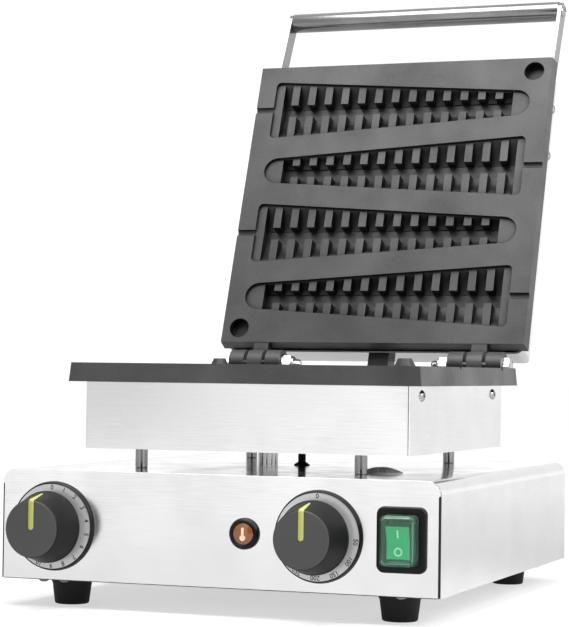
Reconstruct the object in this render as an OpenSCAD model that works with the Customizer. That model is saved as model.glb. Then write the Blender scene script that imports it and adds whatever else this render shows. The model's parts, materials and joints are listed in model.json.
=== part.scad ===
// Counter-top waffle iron for four waffles on sticks: a stainless base with its controls, a heater box
// on four posts, a fixed lower plate and a hinged upper plate with a bar handle. Drawn in millimetres,
// standing on z = 0 with the lid open; +X is the user's right and +Y points away from the user.

/* [Base] */
// Width of the base
base_w = 300; // [300:5:360]
// Depth of the base, front to back
base_d = 335; // [330:5:400]
// Height of the base shell without its feet
base_h = 72; // [68:1:100]
// Thickness of the stainless sheet
sheet_t = 1.2; // [1:0.1:1.5]
// Outside radius of the bends along the sides of the base
bend_r = 9; // [6:0.5:12]
// Height of the rubber feet
foot_h = 18; // [14:1:30]
// Diameter of a foot where it meets the base
foot_d = 28; // [22:1:34]
// Distance of each foot centre from the front or rear of the base
foot_inset_y = 33; // [25:1:50]
// Distance of each foot centre from the side of the base
foot_inset_x = 35.5; // [25:0.5:50]

/* [Heater box] */
// Width of the heater box
box_w = 229; // [222:1:232]
// Depth of the heater box
box_d = 229; // [222:1:234]
// Height of the heater box
box_h = 45; // [40:1:60]
// Distance of the heater box from the front of the base
box_front = 49.5; // [44:0.5:60]
// Clear height between the base and the heater box
post_h = 12.8; // [10:0.2:30]
// Diameter of the posts
post_d = 8.4; // [7.6:0.2:12]
// Distance of each post from the side of the heater box
post_inset_x = 36.5; // [30:0.5:60]
// Distance of each post from the front or rear of the heater box
post_inset_y = 12; // [10:0.5:30]

/* [Baking plates] */
// Width of both baking plates
plate_w = 248; // [244:1:270]
// Depth of both baking plates
plate_d = 246; // [242:1:270]
// Thickness of the lower plate's rim
plate_t = 12.8; // [12:0.2:18]
// Thickness of the upper plate's rim
upper_t = 12.2; // [12:0.2:18]
// How far the lower plate stands out in front of the heater box
plate_overhang = 7.3; // [4:0.1:10]
// Draft of the plates' edges
plate_draft = 1.1; // [0.5:0.1:2]
// Gap between the closed plates
plate_gap = 0.5; // [0.3:0.1:1]
// Depth of the lower casting inside the heater box
lower_belly_t = 12; // [10:0.5:14]
// Depth of the upper casting inside the lid cover
upper_belly_t = 7; // [6:0.5:9]

/* [Waffle moulds] */
// Distance between the centre lines of neighbouring moulds
mould_pitch = 55; // [54:0.5:58]
// Length of a mould
mould_l = 215.9; // [200:0.1:222]
// Half width of a mould at its wide end
mould_wide = 25.7; // [22:0.1:26]
// Radius of a mould's tip
mould_tip = 11.1; // [9:0.1:12]
// Depth of the shallow upper part of a mould
recess_depth = 2.5; // [1.5:0.1:3]
// Depth of the slots and the centre channel below the shallow part
slot_depth = 9.6; // [7:0.1:10]
// Distance between neighbouring teeth
tooth_pitch = 14.4; // [13.6:0.1:15]
// Width of a tooth
tooth_w = 6.2; // [5:0.1:7]
// Width of the channel between the two rows of teeth
channel_w = 10.4; // [8:0.1:12]
// Width of the land at the wide end
land_w = 7; // [5:0.1:7.5]
// Diameter of a wafer stick
stick_d = 4.9; // [4:0.1:6]
// Distance of a locating boss from the side of the plate
boss_inset_x = 15; // [13.5:0.5:15.5]
// Distance of a locating boss from the front or rear of the plate
boss_inset_y = 13; // [11:0.5:14]

/* [Hinge] */
// Angle between the plates when the lid is open
open_angle = 110.4; // [90:0.2:112]
// Distance of the hinge pin behind the lower plate
pin_back = 17; // [15:0.5:20]
// Height of the hinge pin above the lower plate
pin_rise = 1.2; // [0:0.1:2]
// Diameter of the hinge bolts
pin_d = 8; // [6:0.5:9]
// Outside radius of the hinge knuckles
knuckle_r = 11; // [9:0.5:11]
// Width of one hinge knuckle
knuckle_w = 12; // [10:0.5:12]
// Distance of each hinge from the middle
hinge_x = 88.5; // [70:0.5:90]
// Radial running clearance of pins and shafts
running_gap = 0.05; // [0.02:0.01:0.08]

/* [Lid] */
// Depth of the cover behind the upper plate
cover_h = 25; // [25:0.5:35]
// How far the cover stands inside the plate's sides
cover_inset = 4; // [3:0.1:4.5]
// Radius of the cover's outer edges
cover_r = 6; // [4:0.5:8]
// Diameter of the handle bar
grip_d = 16; // [14:1:18]
// How far the handle bar reaches in front of the plate when the lid is closed
grip_reach = 60.7; // [50:0.1:80]
// Height of the handle bar above the closed upper plate's rim
grip_rise = 23.7; // [22:0.1:40]
// Width of the handle arms
arm_w = 14.5; // [12:0.5:15]
// Thickness of the handle arms
arm_t = 3; // [2.5:0.5:4]

/* [Controls] */
// Distance of the timer from the left side of the base
timer_in = 37.6; // [35:0.2:50]
// Distance of the thermostat from the right side of the base
thermostat_in = 78.8; // [78:0.2:90]
// Distance of the indicator lamp from the right side of the base
lamp_in = 128.5; // [122:0.5:140]
// Distance of the switch from the right side of the base
switch_in = 24.5; // [22:0.5:28]
// Height of the dials above the shell's bottom edge
dial_rise = 35.4; // [33:0.2:37]
// Outside diameter of a dial's bezel
bezel_d = 58.4; // [56:0.2:62]
// Diameter of a knob's skirt
knob_d = 46.6; // [42:0.2:50]
// How far a knob reaches in front of the panel
knob_reach = 33; // [28:0.5:38]
// Width of the switch frame
switch_w = 32.2; // [30:0.2:36]
// Height of the switch frame
switch_h = 41; // [40:0.1:46]

/* [Hidden] */

$fn = 48;

// Colours
steel = "#e4e6e8";
dark_coating = "#4c4d4f";
black_plastic = "#2c2d2f";
black_rubber = "#1c1c1d";
bare_metal = "#b9bcbf";

// Heights
base_z = foot_h;
base_top = base_z + base_h;
box_z = base_top + post_h;
box_top = box_z + box_h;
plate_top = box_top + plate_t;
mate_z = plate_top + plate_gap;
rim_top = mate_z + upper_t;
belly_top = rim_top + upper_belly_t;
cover_top = rim_top + cover_h;

// Places from front to back
plate_y = box_front - plate_overhang;
plate_back = plate_y + plate_d;
plate_mid = plate_y + plate_d / 2;
box_mid = box_front + box_d / 2;
pin_y = plate_back + pin_back;
pin_z = plate_top + pin_rise;

// Handle
grip_y = plate_y - grip_reach;
grip_z = rim_top + grip_rise;
cover_half = plate_w / 2 - cover_inset;
arm_gap = 0.5;
arm_out = cover_half - sheet_t - arm_gap;
arm_in = arm_out - arm_t;
arm_z = rim_top + 1.2 + cover_h / 2;
kink_y = plate_y + 8;
arm_end_y = plate_y + 88;
arm_screw_y = [plate_y + 34, plate_y + 75];

// Controls
timer_x = -base_w / 2 + timer_in;
thermostat_x = base_w / 2 - thermostat_in;
lamp_x = base_w / 2 - lamp_in;
switch_x = base_w / 2 - switch_in;
dial_z = base_z + dial_rise;
pointer_t = 0.5;
shaft_d = 6;

// The whole part is centred between its foremost and rearmost points.
function opened_y(y, z) = pin_y + (y - pin_y) * cos(open_angle) + (z - pin_z) * sin(open_angle);
front_reach = -(knob_reach + pointer_t);
back_reach = opened_y(grip_y, grip_z) + grip_d / 2;
mid_y = (front_reach + back_reach) / 2;

module seat() {
    translate([0, -mid_y, 0]) children();
}

// Lid pieces are drawn closed and turned open about the hinge pin.
module lid_seat() {
    seat()
        translate([0, pin_y, pin_z])
            rotate([-open_angle, 0, 0])
                translate([0, -pin_y, -pin_z]) children();
}

// Points of an arc about [cx, cy], from angle a0 to a1 in n steps.
function arc(cx, cy, r, a0, a1, n) =
    [for (i = [0 : n]) let (a = a0 + (a1 - a0) * i / n) [cx + r * cos(a), cy + r * sin(a)]];

// Rounded rectangle centred on the origin.
function round_rect(w, h, r, n = 6) = concat(
    arc(w / 2 - r, h / 2 - r, r, 0, 90, n),
    arc(-w / 2 + r, h / 2 - r, r, 90, 180, n),
    arc(-w / 2 + r, -h / 2 + r, r, 180, 270, n),
    arc(w / 2 - r, -h / 2 + r, r, 270, 360, n));

// Outline of the base seen from the front: square feet corners, rounded shoulders.
function base_outline(inset) = let (w = base_w / 2 - inset, r = max(bend_r - inset, 0.5)) concat(
    [[-w, base_z], [w, base_z]],
    arc(w - r, base_top - inset - r, r, 0, 90, 8),
    arc(-w + r, base_top - inset - r, r, 90, 180, 8));

// Stands a drawing of the XZ plane up, from y0 to y1.
module along_y(y0, y1) {
    translate([0, y1, 0]) rotate([90, 0, 0]) linear_extrude(y1 - y0) children();
}

// Draws children on a YZ plane, from x0 to x1: 2-D x becomes y and 2-D y becomes z.
module along_x(x0, x1) {
    translate([x0, 0, 0]) rotate([90, 0, 90]) linear_extrude(x1 - x0) children();
}

// A round bar along X or Y.
module bar_x(x0, x1, y, z, d) {
    translate([x0, y, z]) rotate([0, 90, 0]) cylinder(d = d, h = x1 - x0);
}

module bar_y(y0, y1, x, z, d) {
    translate([x, y1, z]) rotate([90, 0, 0]) cylinder(d = d, h = y1 - y0);
}

// Low domed screw head standing on z = 0.
module dome_head(d, h) {
    dome_r = (d * d / 4 + h * h) / (2 * h);
    rotate_extrude() intersection() {
        translate([0, h - dome_r]) circle(r = dome_r, $fn = 96);
        square([d / 2, h]);
    }
}

module at_each(places) {
    for (p = places) translate(p) children();
}

foot_places = [for (x = [-1, 1], y = [foot_inset_y, base_d - foot_inset_y])
    [x * (base_w / 2 - foot_inset_x), y, 0]];
post_places = [for (x = [-1, 1], y = [box_front + post_inset_y, box_front + box_d - post_inset_y])
    [x * (box_w / 2 - post_inset_x), y, 0]];
vent_place = [box_w / 2 - 29.5, box_front + 34.5, base_top];
fitting_place = [-30, box_mid + 11, 0];
sensor_y = box_mid;
side_screw_y = [box_mid - 88.5, box_mid + 88.5];
side_screw_z = box_top - 6.5;
mains_x = base_w / 2 - 45;
mains_z = base_z + 28;
lead_z = base_z + 44;
outlet_x = 5;

// Base -----------------------------------------------------------------------------------------------

lip_w = 16;
bolt_d = 6;
fitting_d = 11;
sleeve_d = 5.4;
plug_d = 20;

module shell_lips() {
    for (s = [-1, 1])
        translate([s * (base_w / 2 - sheet_t - lip_w / 2), base_z + sheet_t * 1.5])
            square([lip_w, sheet_t], center = true);
}

side_screws = [for (x = [-1, 1], y = [67, base_d - 67]) [x * (base_w / 2 - 6), y, base_z]];
end_screws = concat(
    [for (x = [-1, 1], y = [8, base_d - 8]) [x * (base_w / 2 - 27), y, base_z]],
    [[-base_w / 2 + 42, 8, base_z]]);
screw_places = concat(side_screws, end_screws);
screw_d = 4;
screw_head_d = 2 * screw_d;
stud_d = 5;
stud_nut_w = 9.2;

module base_shell() {
    color(steel) seat() difference() {
        along_y(sheet_t, base_d - sheet_t) {
            difference() {
                polygon(base_outline(0));
                polygon(base_outline(sheet_t));
            }
            shell_lips();
        }
        at_each(post_places) translate([0, 0, base_top - 5]) cylinder(d = bolt_d, h = 10);
        translate([0, sensor_y, base_top - 5]) cylinder(d = sleeve_d + 2, h = 10);
        translate([fitting_place.x, fitting_place.y, base_top - 5]) cylinder(d = fitting_d, h = 10);
        translate([vent_place.x, vent_place.y, base_top - 5]) cylinder(d = plug_d, h = 10);
        at_each(screw_places) cylinder(d = screw_d, h = 10);
    }
}

bush_d = 9.6;
lamp_d = 14;
switch_body_w = 21.6;
switch_body_h = 27.6;

// Flange that the bottom plate is screwed to, between the shell's lips.
module panel_flange(y0) {
    half = base_w / 2 - sheet_t - lip_w - 0.3;
    difference() {
        translate([-half, y0, base_z + sheet_t]) cube([2 * half, lip_w, sheet_t]);
        at_each(screw_places) cylinder(d = screw_d, h = 10);
    }
}

module front_panel() {
    color(steel) seat() panel_flange(sheet_t);
    color(steel) seat() difference() {
        along_y(0, sheet_t) polygon(base_outline(0));
        for (x = [timer_x, thermostat_x]) bar_y(-1, 3, x, dial_z, bush_d);
        bar_y(-1, 3, lamp_x, dial_z, lamp_d);
        along_y(-1, 3) translate([switch_x, dial_z])
            square([switch_body_w, switch_body_h], center = true);
    }
}

gland_d = 16;

module vent_slots(n, pitch, w, h) {
    for (i = [0 : n - 1])
        translate([(i - (n - 1) / 2) * pitch, 0]) polygon(round_rect(w, h, w / 2 - 0.05, 4));
}

module rear_panel() {
    color(steel) seat() panel_flange(base_d - sheet_t - lip_w);
    color(steel) seat() difference() {
        along_y(base_d - sheet_t, base_d) difference() {
            polygon(base_outline(0));
            translate([-base_w / 2 + 55, base_z + base_h / 2]) vent_slots(8, 9, 4, 34);
        }
        bar_y(base_d - 3, base_d + 1, mains_x, mains_z, gland_d);
        bar_y(base_d - 3, base_d + 1, outlet_x, lead_z, gland_d);
    }
}

module bottom_plate() {
    half = base_w / 2 - sheet_t;
    color(steel) seat() difference() {
        translate([-half, sheet_t, base_z]) cube([2 * half, base_d - 2 * sheet_t, sheet_t]);
        at_each(foot_places) translate([0, 0, base_z - 1]) cylinder(d = 5, h = 4);
        at_each(screw_places) translate([0, 0, -1]) cylinder(d = screw_d, h = 4);
        for (k = [-1 : 1]) translate([0, base_d / 2 - 17.5 + 55 * k, base_z - 1]) linear_extrude(4)
            vent_slots(9, 14, 5, 32);
    }
}

module bottom_screws() {
    color(bare_metal) seat() at_each(screw_places) {
        mirror([0, 0, 1]) dome_head(screw_head_d, 2.2);
        cylinder(d = screw_d, h = 8);
    }
}

module rubber_feet() {
    color(black_rubber) seat() at_each(foot_places) difference() {
        cylinder(d1 = foot_d - 5, d2 = foot_d, h = foot_h);
        translate([0, 0, -1]) cylinder(d = 5, h = foot_h + 2);
        translate([0, 0, -1]) cylinder(d = 11, h = 6);
    }
}

module foot_screws() {
    color(bare_metal) seat() at_each(foot_places) {
        translate([0, 0, 2]) cylinder(d = 10, h = 3);
        translate([0, 0, 4]) cylinder(d = 5, h = foot_h + 4);
        translate([0, 0, foot_h + sheet_t]) cylinder(d = stud_nut_w, h = 4, $fn = 6);
    }
}

// Controls -------------------------------------------------------------------------------------------

bezel_t = 3.1;
rim_t = 3.9;
bezel_taper = 0.9;
rim_w = 0.6;
ring_t = 0.5;
ring_inner_d = 38;
bezel_floor_d = bezel_d - 2 * (bezel_taper + rim_w);
hub_back = rim_t + 0.6;
hub_d = 34;
skirt_back = 9.2;
skirt_t = 2.4;
grip_base_d = knob_d - 1.2;
grip_face_d = knob_d - 9.2;
grip_edge_r = 1.8;
pointer_w = 3.5;
pointer_back = 17.5;
shaft_reach = 24;
body_depth = 30;

// The back of a dial control: a case behind the panel and a bush through it.
module dial_body(x, w, h) {
    difference() {
        union() {
            translate([x - w / 2, sheet_t, dial_z - h / 2]) cube([w, body_depth, h]);
            bar_y(-2, sheet_t + 1, x, dial_z, bush_d);
        }
        bar_y(-3, sheet_t + 14, x, dial_z, shaft_d + 2 * running_gap);
    }
}

module dial_bezel(x) {
    difference() {
        translate([x, 0, dial_z]) rotate([90, 0, 0])
            cylinder(d1 = bezel_d, d2 = bezel_d - 2 * bezel_taper, h = rim_t, $fn = 96);
        bar_y(-rim_t - 1, -bezel_t, x, dial_z, bezel_floor_d);
        bar_y(-rim_t - 1, 1, x, dial_z, bush_d);
    }
}

module dial_scale_ring(x) {
    difference() {
        bar_y(-bezel_t - ring_t, -bezel_t, x, dial_z, bezel_floor_d - 0.2);
        bar_y(-bezel_t - ring_t - 1, 0, x, dial_z, ring_inner_d);
    }
}

module dial_shaft(x) {
    bar_y(-shaft_reach, sheet_t + 13.6, x, dial_z, shaft_d);
}

// Half section of a knob: radius across, distance in front of the panel upward.
grip_back = skirt_back + skirt_t + 0.6;
edge_start = 8;

function knob_section() = concat(
    [[shaft_d / 2, hub_back], [hub_d / 2, hub_back], [hub_d / 2, skirt_back]],
    arc(knob_d / 2 - 0.6, skirt_back + 0.6, 0.6, -90, 0, 2),
    [[knob_d / 2, skirt_back + skirt_t], [grip_base_d / 2, grip_back]],
    arc(grip_face_d / 2 - grip_edge_r, knob_reach - grip_edge_r, grip_edge_r, edge_start, 90, 5),
    [[0, knob_reach], [0, shaft_reach], [shaft_d / 2, shaft_reach]]);

// Radius of the grip's straight side at distance h in front of the panel.
function grip_radius(h) = let (
    r1 = grip_face_d / 2 - grip_edge_r * (1 - cos(edge_start)),
    h1 = knob_reach - grip_edge_r * (1 - sin(edge_start)))
    grip_base_d / 2 + (r1 - grip_base_d / 2) * (h - grip_back) / (h1 - grip_back);

module dial_knob(x) {
    translate([x, 0, dial_z]) rotate([90, 0, 0]) rotate_extrude($fn = 72) polygon(knob_section());
}

// Raised line from the middle of the knob's face over its edge and down its side.
module dial_pointer(x) {
    r_face = grip_face_d / 2 - grip_edge_r;
    h_edge = knob_reach - grip_edge_r;
    last = 180 - 90 + edge_start;
    translate([0, 0, dial_z]) along_x(x - pointer_w / 2, x + pointer_w / 2) difference() {
        polygon(concat([[-knob_reach - pointer_t, 0]],
            arc(-h_edge, r_face, grip_edge_r + pointer_t, 180, last, 5),
            [[-pointer_back, grip_radius(pointer_back) + pointer_t], [-pointer_back, 0]]));
        polygon(concat([[-knob_reach, -1]], arc(-h_edge, r_face, grip_edge_r, 180, last, 5),
            [[-pointer_back + 1, grip_radius(pointer_back - 1)], [-pointer_back + 1, -1]]));
    }
}

module timer_body() { color(bare_metal) seat() dial_body(timer_x, 46, 40); }
module timer_bezel() { color(black_plastic) seat() dial_bezel(timer_x); }
module timer_scale_ring() { color(bare_metal) seat() dial_scale_ring(timer_x); }
module timer_shaft() { color(bare_metal) seat() dial_shaft(timer_x); }
module timer_knob() { color(dark_coating) seat() dial_knob(timer_x); }
module timer_pointer() { color("#cdd25c") seat() dial_pointer(timer_x); }

module thermostat_body() { color(bare_metal) seat() dial_body(thermostat_x, 36, 34); }
module thermostat_bezel() { color(black_plastic) seat() dial_bezel(thermostat_x); }
module thermostat_scale_ring() { color(bare_metal) seat() dial_scale_ring(thermostat_x); }
module thermostat_shaft() { color(bare_metal) seat() dial_shaft(thermostat_x); }
module thermostat_knob() { color(dark_coating) seat() dial_knob(thermostat_x); }
module thermostat_pointer() { color("#cdd25c") seat() dial_pointer(thermostat_x); }

capillary_d = 2.2;
capillary_r = 12;
bulb_d = 3.2;
bulb_top = box_top - lower_belly_t - 8.2;

// Copper tube from the thermostat's back to the bulb under the lower plate.
module thermostat_capillary() {
    z = dial_z - 6;
    y0 = sheet_t + body_depth;
    r = capillary_r;
    color("#b87344") seat() {
        bar_y(y0, sensor_y - r, thermostat_x, z, capillary_d);
        translate([thermostat_x - r, sensor_y - r, z])
            rotate_extrude(angle = 90) translate([r, 0]) circle(d = capillary_d);
        bar_x(r, thermostat_x - r, sensor_y, z, capillary_d);
        translate([r, sensor_y, z + r]) rotate([90, 0, 0])
            rotate_extrude(angle = 90, start = 180) translate([r, 0]) circle(d = capillary_d);
        translate([0, sensor_y, z + r]) cylinder(d = capillary_d, h = base_top + 4 - z - r);
        translate([0, sensor_y, base_top + 3]) cylinder(d = bulb_d, h = bulb_top - base_top - 3);
    }
}

module sensor_sleeve() {
    color(black_rubber) seat() translate([0, sensor_y, base_top - 8]) difference() {
        cylinder(d = sleeve_d, h = box_z - base_top + 18);
        translate([0, 0, -1]) cylinder(d = bulb_d + 0.2, h = box_z - base_top + 20);
    }
}

module sensor_grommet() {
    color(black_rubber) seat() translate([0, sensor_y, base_top]) difference() {
        union() {
            cylinder(d1 = 11.3, d2 = sleeve_d + 0.8, h = 2.4);
            translate([0, 0, -sheet_t]) cylinder(d = sleeve_d + 2, h = sheet_t + 0.5);
            translate([0, 0, -sheet_t - 1.6]) cylinder(d = 11, h = 1.6);
        }
        translate([0, 0, -5]) cylinder(d = sleeve_d, h = 12);
    }
}

lens_d = 13.4;

module lamp_bezel() {
    color(black_plastic) seat() translate([lamp_x, 0, dial_z]) rotate([90, 0, 0])
        rotate_extrude()
            polygon([[lens_d / 2, 0], [10, 0], [10, 1.6], [8.6, 3], [7.6, 3], [lens_d / 2, 2.2]]);
}

module lamp_lens() {
    color("#d08a2a") seat() translate([lamp_x, 0, dial_z]) rotate([90, 0, 0]) {
        cylinder(d = lens_d, h = 2.6);
        translate([0, 0, 2.6]) dome_head(lens_d, 1.4);
    }
}

module lamp_body() {
    color(black_plastic) seat() {
        bar_y(0, 18, lamp_x, dial_z, lamp_d);
        bar_y(sheet_t, sheet_t + 5, lamp_x, dial_z, 19);
        for (s = [-1, 1]) translate([lamp_x + s * 3 - 0.4, 18, dial_z - 2.4]) cube([0.8, 8, 4.8]);
    }
}

frame_t = 2.6;
boot_w = 23;
boot_h = 32;
boot_t = 1;
boot_reach = 12.4;
pivot_y = 1;
rocker_w = 15.6;
rocker_tilt = 8;
pocket_h = 24.8;

module switch_frame() {
    color(black_plastic) seat() along_y(-frame_t, 0) translate([switch_x, dial_z]) difference() {
        polygon(round_rect(switch_w, switch_h, 5));
        polygon(round_rect(boot_w, boot_h, 3));
    }
}

// Clear silicone boot over the rocker.
module switch_cover() {
    color("#7fb89a", 0.6) seat() translate([switch_x, 0, dial_z]) rotate([90, 0, 0]) difference() {
        union() {
            linear_extrude(frame_t) polygon(round_rect(boot_w, boot_h, 3));
            translate([0, 0, frame_t]) linear_extrude(boot_reach - frame_t)
                polygon(round_rect(boot_w - 1, boot_h - 1, 3));
        }
        translate([0, 0, -1]) linear_extrude(boot_reach - boot_t + 1)
            polygon(round_rect(boot_w - 1 - 2 * boot_t, boot_h - 1 - 2 * boot_t, 2));
    }
}

module switch_body() {
    wall = rocker_w + 0.8;
    color(black_plastic) seat() difference() {
        union() {
            along_y(0, 22) translate([switch_x, dial_z])
                square([switch_body_w - 0.2, switch_body_h - 0.2], center = true);
            along_y(-1.6, 1) translate([switch_x, dial_z])
                square([rocker_w + 3.6, pocket_h + 1.2], center = true);
        }
        translate([switch_x - wall / 2, -3, dial_z - pocket_h / 2]) cube([wall, 3 + 7.6, pocket_h]);
        bar_x(switch_x - 9.9, switch_x + 9.9, pivot_y, dial_z, 3 + 2 * running_gap);
    }
    color(bare_metal) seat() for (x = [-5, 5], z = [-8, 8])
        translate([switch_x + x - 3, 22, dial_z + z - 0.4]) cube([6, 8, 0.8]);
}

// The rocker lies with its lower half pressed in.
module switch_rocker() {
    color("#2f9e6e") seat() translate([0, pivot_y, dial_z]) rotate([rocker_tilt, 0, 0]) {
        along_x(switch_x - rocker_w / 2, switch_x + rocker_w / 2)
            polygon([[2, -11.4], [2, 11.4], [-10.2, 10.8], [-8.4, 0], [-10.2, -10.8]]);
        bar_x(switch_x - 9.6, switch_x + 9.6, 0, 0, 3);
    }
}

block_y = box_mid + 80;
block_w = 54;
block_d = 24;
block_h = 18;
pole_pitch = 10;

module terminal_block() {
    z = base_z + sheet_t;
    color("#d8d5cc") seat() difference() {
        translate([-block_w / 2, block_y - block_d / 2, z]) cube([block_w, block_d, block_h]);
        for (i = [-2 : 2], k = [-1, 1])
            translate([i * pole_pitch, block_y + k * block_d / 4, z + block_h / 3])
                cylinder(d = pole_pitch / 2, h = block_h);
    }
}

// Cable gland through the rear panel, with its bore along Y.
module panel_gland(x, z, bore) {
    difference() {
        union() {
            bar_y(base_d - sheet_t - 8, base_d + 2, x, z, gland_d);
            translate([x, base_d - sheet_t, z]) rotate([90, 0, 0]) cylinder(d = 24, h = 5, $fn = 6);
            translate([x, base_d + 4, z]) rotate([90, 0, 0]) cylinder(d = 24, h = 4, $fn = 6);
            translate([x, base_d + 4, z]) rotate([-90, 0, 0]) cylinder(d1 = 19, d2 = 15, h = 10);
        }
        bar_y(base_d - 20, base_d + 20, x, z, bore);
    }
}

module mains_gland() { color(black_plastic) seat() panel_gland(mains_x, mains_z, 8); }
module lid_lead_gland() { color(black_plastic) seat() panel_gland(outlet_x, lead_z, 8); }

module vent_cap() {
    color("#55575a") seat() translate(vent_place) {
        dome_head(28, 4.2);
        difference() {
            translate([0, 0, -8]) cylinder(d = plug_d, h = 8);
            translate([0, 0, -9]) cylinder(d = plug_d - 3, h = 8);
        }
    }
}

module standoff_posts() {
    color(bare_metal) seat() at_each(post_places) translate([0, 0, base_top]) difference() {
        cylinder(d = post_d, h = post_h);
        translate([0, 0, -1]) cylinder(d = bolt_d, h = post_h + 2);
    }
}

module post_bolts() {
    color(bare_metal) seat() at_each(post_places) {
        translate([0, 0, base_top - sheet_t - 8]) cylinder(d = bolt_d, h = box_z - base_top + sheet_t + 10);
        translate([0, 0, base_top - sheet_t - 5]) cylinder(d = 11.5, h = 5, $fn = 6);
        translate([0, 0, box_z + sheet_t]) cylinder(d = 11.5, h = 4, $fn = 6);
    }
}

// Hollow hexagon fitting that carries the lower element's wires.
module wiring_fitting() {
    color(bare_metal) seat() translate(fitting_place) difference() {
        union() {
            translate([0, 0, base_top]) cylinder(d = 15.6, h = post_h, $fn = 6);
            translate([0, 0, base_top - 8]) cylinder(d = fitting_d, h = post_h + 16);
            translate([0, 0, base_top - sheet_t - 4]) cylinder(d = 17, h = 4, $fn = 6);
            translate([0, 0, box_z + sheet_t]) cylinder(d = 17, h = 4, $fn = 6);
        }
        translate([0, 0, base_top - 9]) cylinder(d = 8, h = post_h + 18);
    }
}

// Heater box and lower plate -------------------------------------------------------------------------

module heater_box() {
    color(steel) seat() difference() {
        translate([0, box_mid, box_z]) linear_extrude(box_h) polygon(round_rect(box_w, box_d, 1.5, 4));
        translate([0, box_mid, box_z + sheet_t]) linear_extrude(box_h)
            polygon(round_rect(box_w - 2 * sheet_t, box_d - 2 * sheet_t, 0.5, 2));
        at_each(post_places) translate([0, 0, box_z - 1]) cylinder(d = bolt_d, h = 5);
        translate([0, sensor_y, box_z - 1]) cylinder(d = sleeve_d, h = 5);
        translate([fitting_place.x, fitting_place.y, box_z - 1]) cylinder(d = fitting_d, h = 5);
        for (y = side_screw_y) bar_x(-box_w, box_w, y, side_screw_z, screw_d);
    }
}

screw_grip = 9;

module heater_box_screws() {
    color(bare_metal) seat() for (s = [-1, 1], y = side_screw_y) {
        translate([s * box_w / 2, y, side_screw_z]) rotate([0, s * 90, 0]) {
            dome_head(screw_head_d, 2.4);
            translate([0, 0, -screw_grip]) cylinder(d = screw_d, h = screw_grip);
        }
    }
}

element_d = 6.5;
element_leg = plate_w / 2 - 54;
clamp_x = 44;
clamp_w = plate_w - 34;
clamp_d = plate_d - 60;
seat_gap = 0.05;

clamp_places = [for (x = [-1, 1], y = [-1, 1]) [x * clamp_x, plate_mid + y * mould_pitch]];

// Serpentine heating rod centred on z = 0: four legs, three bends and two terminals.
module element_rod() {
    r = mould_pitch / 2;
    for (i = [0 : 3])
        bar_x(-element_leg, element_leg + (i % 3 == 0 ? 26 : 0), plate_mid + (i - 1.5) * mould_pitch, 0,
            element_d);
    for (i = [0 : 2]) {
        s = i % 2 == 0 ? -1 : 1;
        translate([s * element_leg, plate_mid + (i - 1) * mould_pitch, 0]) rotate([0, 0, -s * 90])
            rotate_extrude(angle = 180) translate([r, 0]) circle(d = element_d);
    }
    for (i = [0, 3])
        bar_x(element_leg + 25, element_leg + 36, plate_mid + (i - 1.5) * mould_pitch, 0, 3);
}

module clamp_sheet() {
    linear_extrude(sheet_t) difference() {
        translate([0, plate_mid]) square([clamp_w, clamp_d], center = true);
        for (p = clamp_places) translate(p) circle(d = stud_d);
    }
}

// Studs with nuts that hold a clamp sheet standing on z = 0.
module clamp_studs(below, above) {
    for (p = clamp_places) translate(p) {
        translate([0, 0, -below]) cylinder(d = stud_d, h = below + above);
        cylinder(d = stud_nut_w, h = 4, $fn = 6);
    }
}

lower_back = box_top - lower_belly_t;
lower_rod_z = lower_back - seat_gap - element_d / 2;
lower_clamp_z = lower_back - 2 * seat_gap - element_d - sheet_t;
stud_hold = 6;

module lower_element() { color("#6e6a66") seat() translate([0, 0, lower_rod_z]) element_rod(); }
module lower_clamp_plate() { color(steel) seat() translate([0, 0, lower_clamp_z]) clamp_sheet(); }

module lower_clamp_nuts() {
    color(bare_metal) seat() translate([0, 0, lower_clamp_z]) mirror([0, 0, 1])
        clamp_studs(lower_back - lower_clamp_z + stud_hold, 6);
}

module lower_insulation() {
    z0 = box_z + sheet_t;
    w = box_w - 2 * sheet_t - 2;
    d = box_d - 2 * sheet_t - 2;
    color("#e6dfc8") seat() difference() {
        translate([-w / 2, box_mid - d / 2, z0]) cube([w, d, lower_clamp_z - z0]);
        at_each(post_places) translate([0, 0, z0 - 1]) cylinder(d = 14, h = 12);
        translate([fitting_place.x, fitting_place.y, z0 - 1]) cylinder(d = 20, h = 60);
        translate([0, sensor_y, z0 - 1]) cylinder(d = 6, h = 60);
        for (p = clamp_places) translate([p.x, p.y, lower_clamp_z - 8]) cylinder(d = 12, h = 10);
    }
}

// Moulds: drawn with the mating face on z = 0 and the cavity below it, the wide end at x = 0.

taper = asin((mould_wide - mould_tip) / (mould_l - mould_tip));
function half_width(x) = mould_wide - x * tan(taper);

function mould_outline() = let (r = 4) concat(
    arc(r, -mould_wide + r + 0.3, r, 180, 270, 4),
    arc(mould_l - mould_tip, 0, mould_tip, -90 + taper, 90 - taper, 12),
    arc(r, mould_wide - r - 0.3, r, 90, 180, 4));

first_slot_w = 7;
tip_land = 14;
first_tooth = land_w + first_slot_w;
tooth_count = floor((mould_l - tip_land - first_tooth) / tooth_pitch);
slots = concat([[land_w, first_tooth]],
    [for (i = [1 : tooth_count])
        [first_tooth + tooth_w + (i - 1) * tooth_pitch, first_tooth + i * tooth_pitch]]);

// One slot with a rounded floor that runs across the mould from x0 to x1.
module slot_tool(x0, x1) {
    h = half_width(x1) - 0.6;
    r = (h * h + slot_depth * slot_depth) / (2 * slot_depth);
    along_x(x0, x1) intersection() {
        translate([0, r - recess_depth - slot_depth]) circle(r = r, $fn = 96);
        translate([-h - 1, -recess_depth - slot_depth - 1]) square([2 * h + 2, slot_depth + 1.2]);
    }
}

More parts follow.
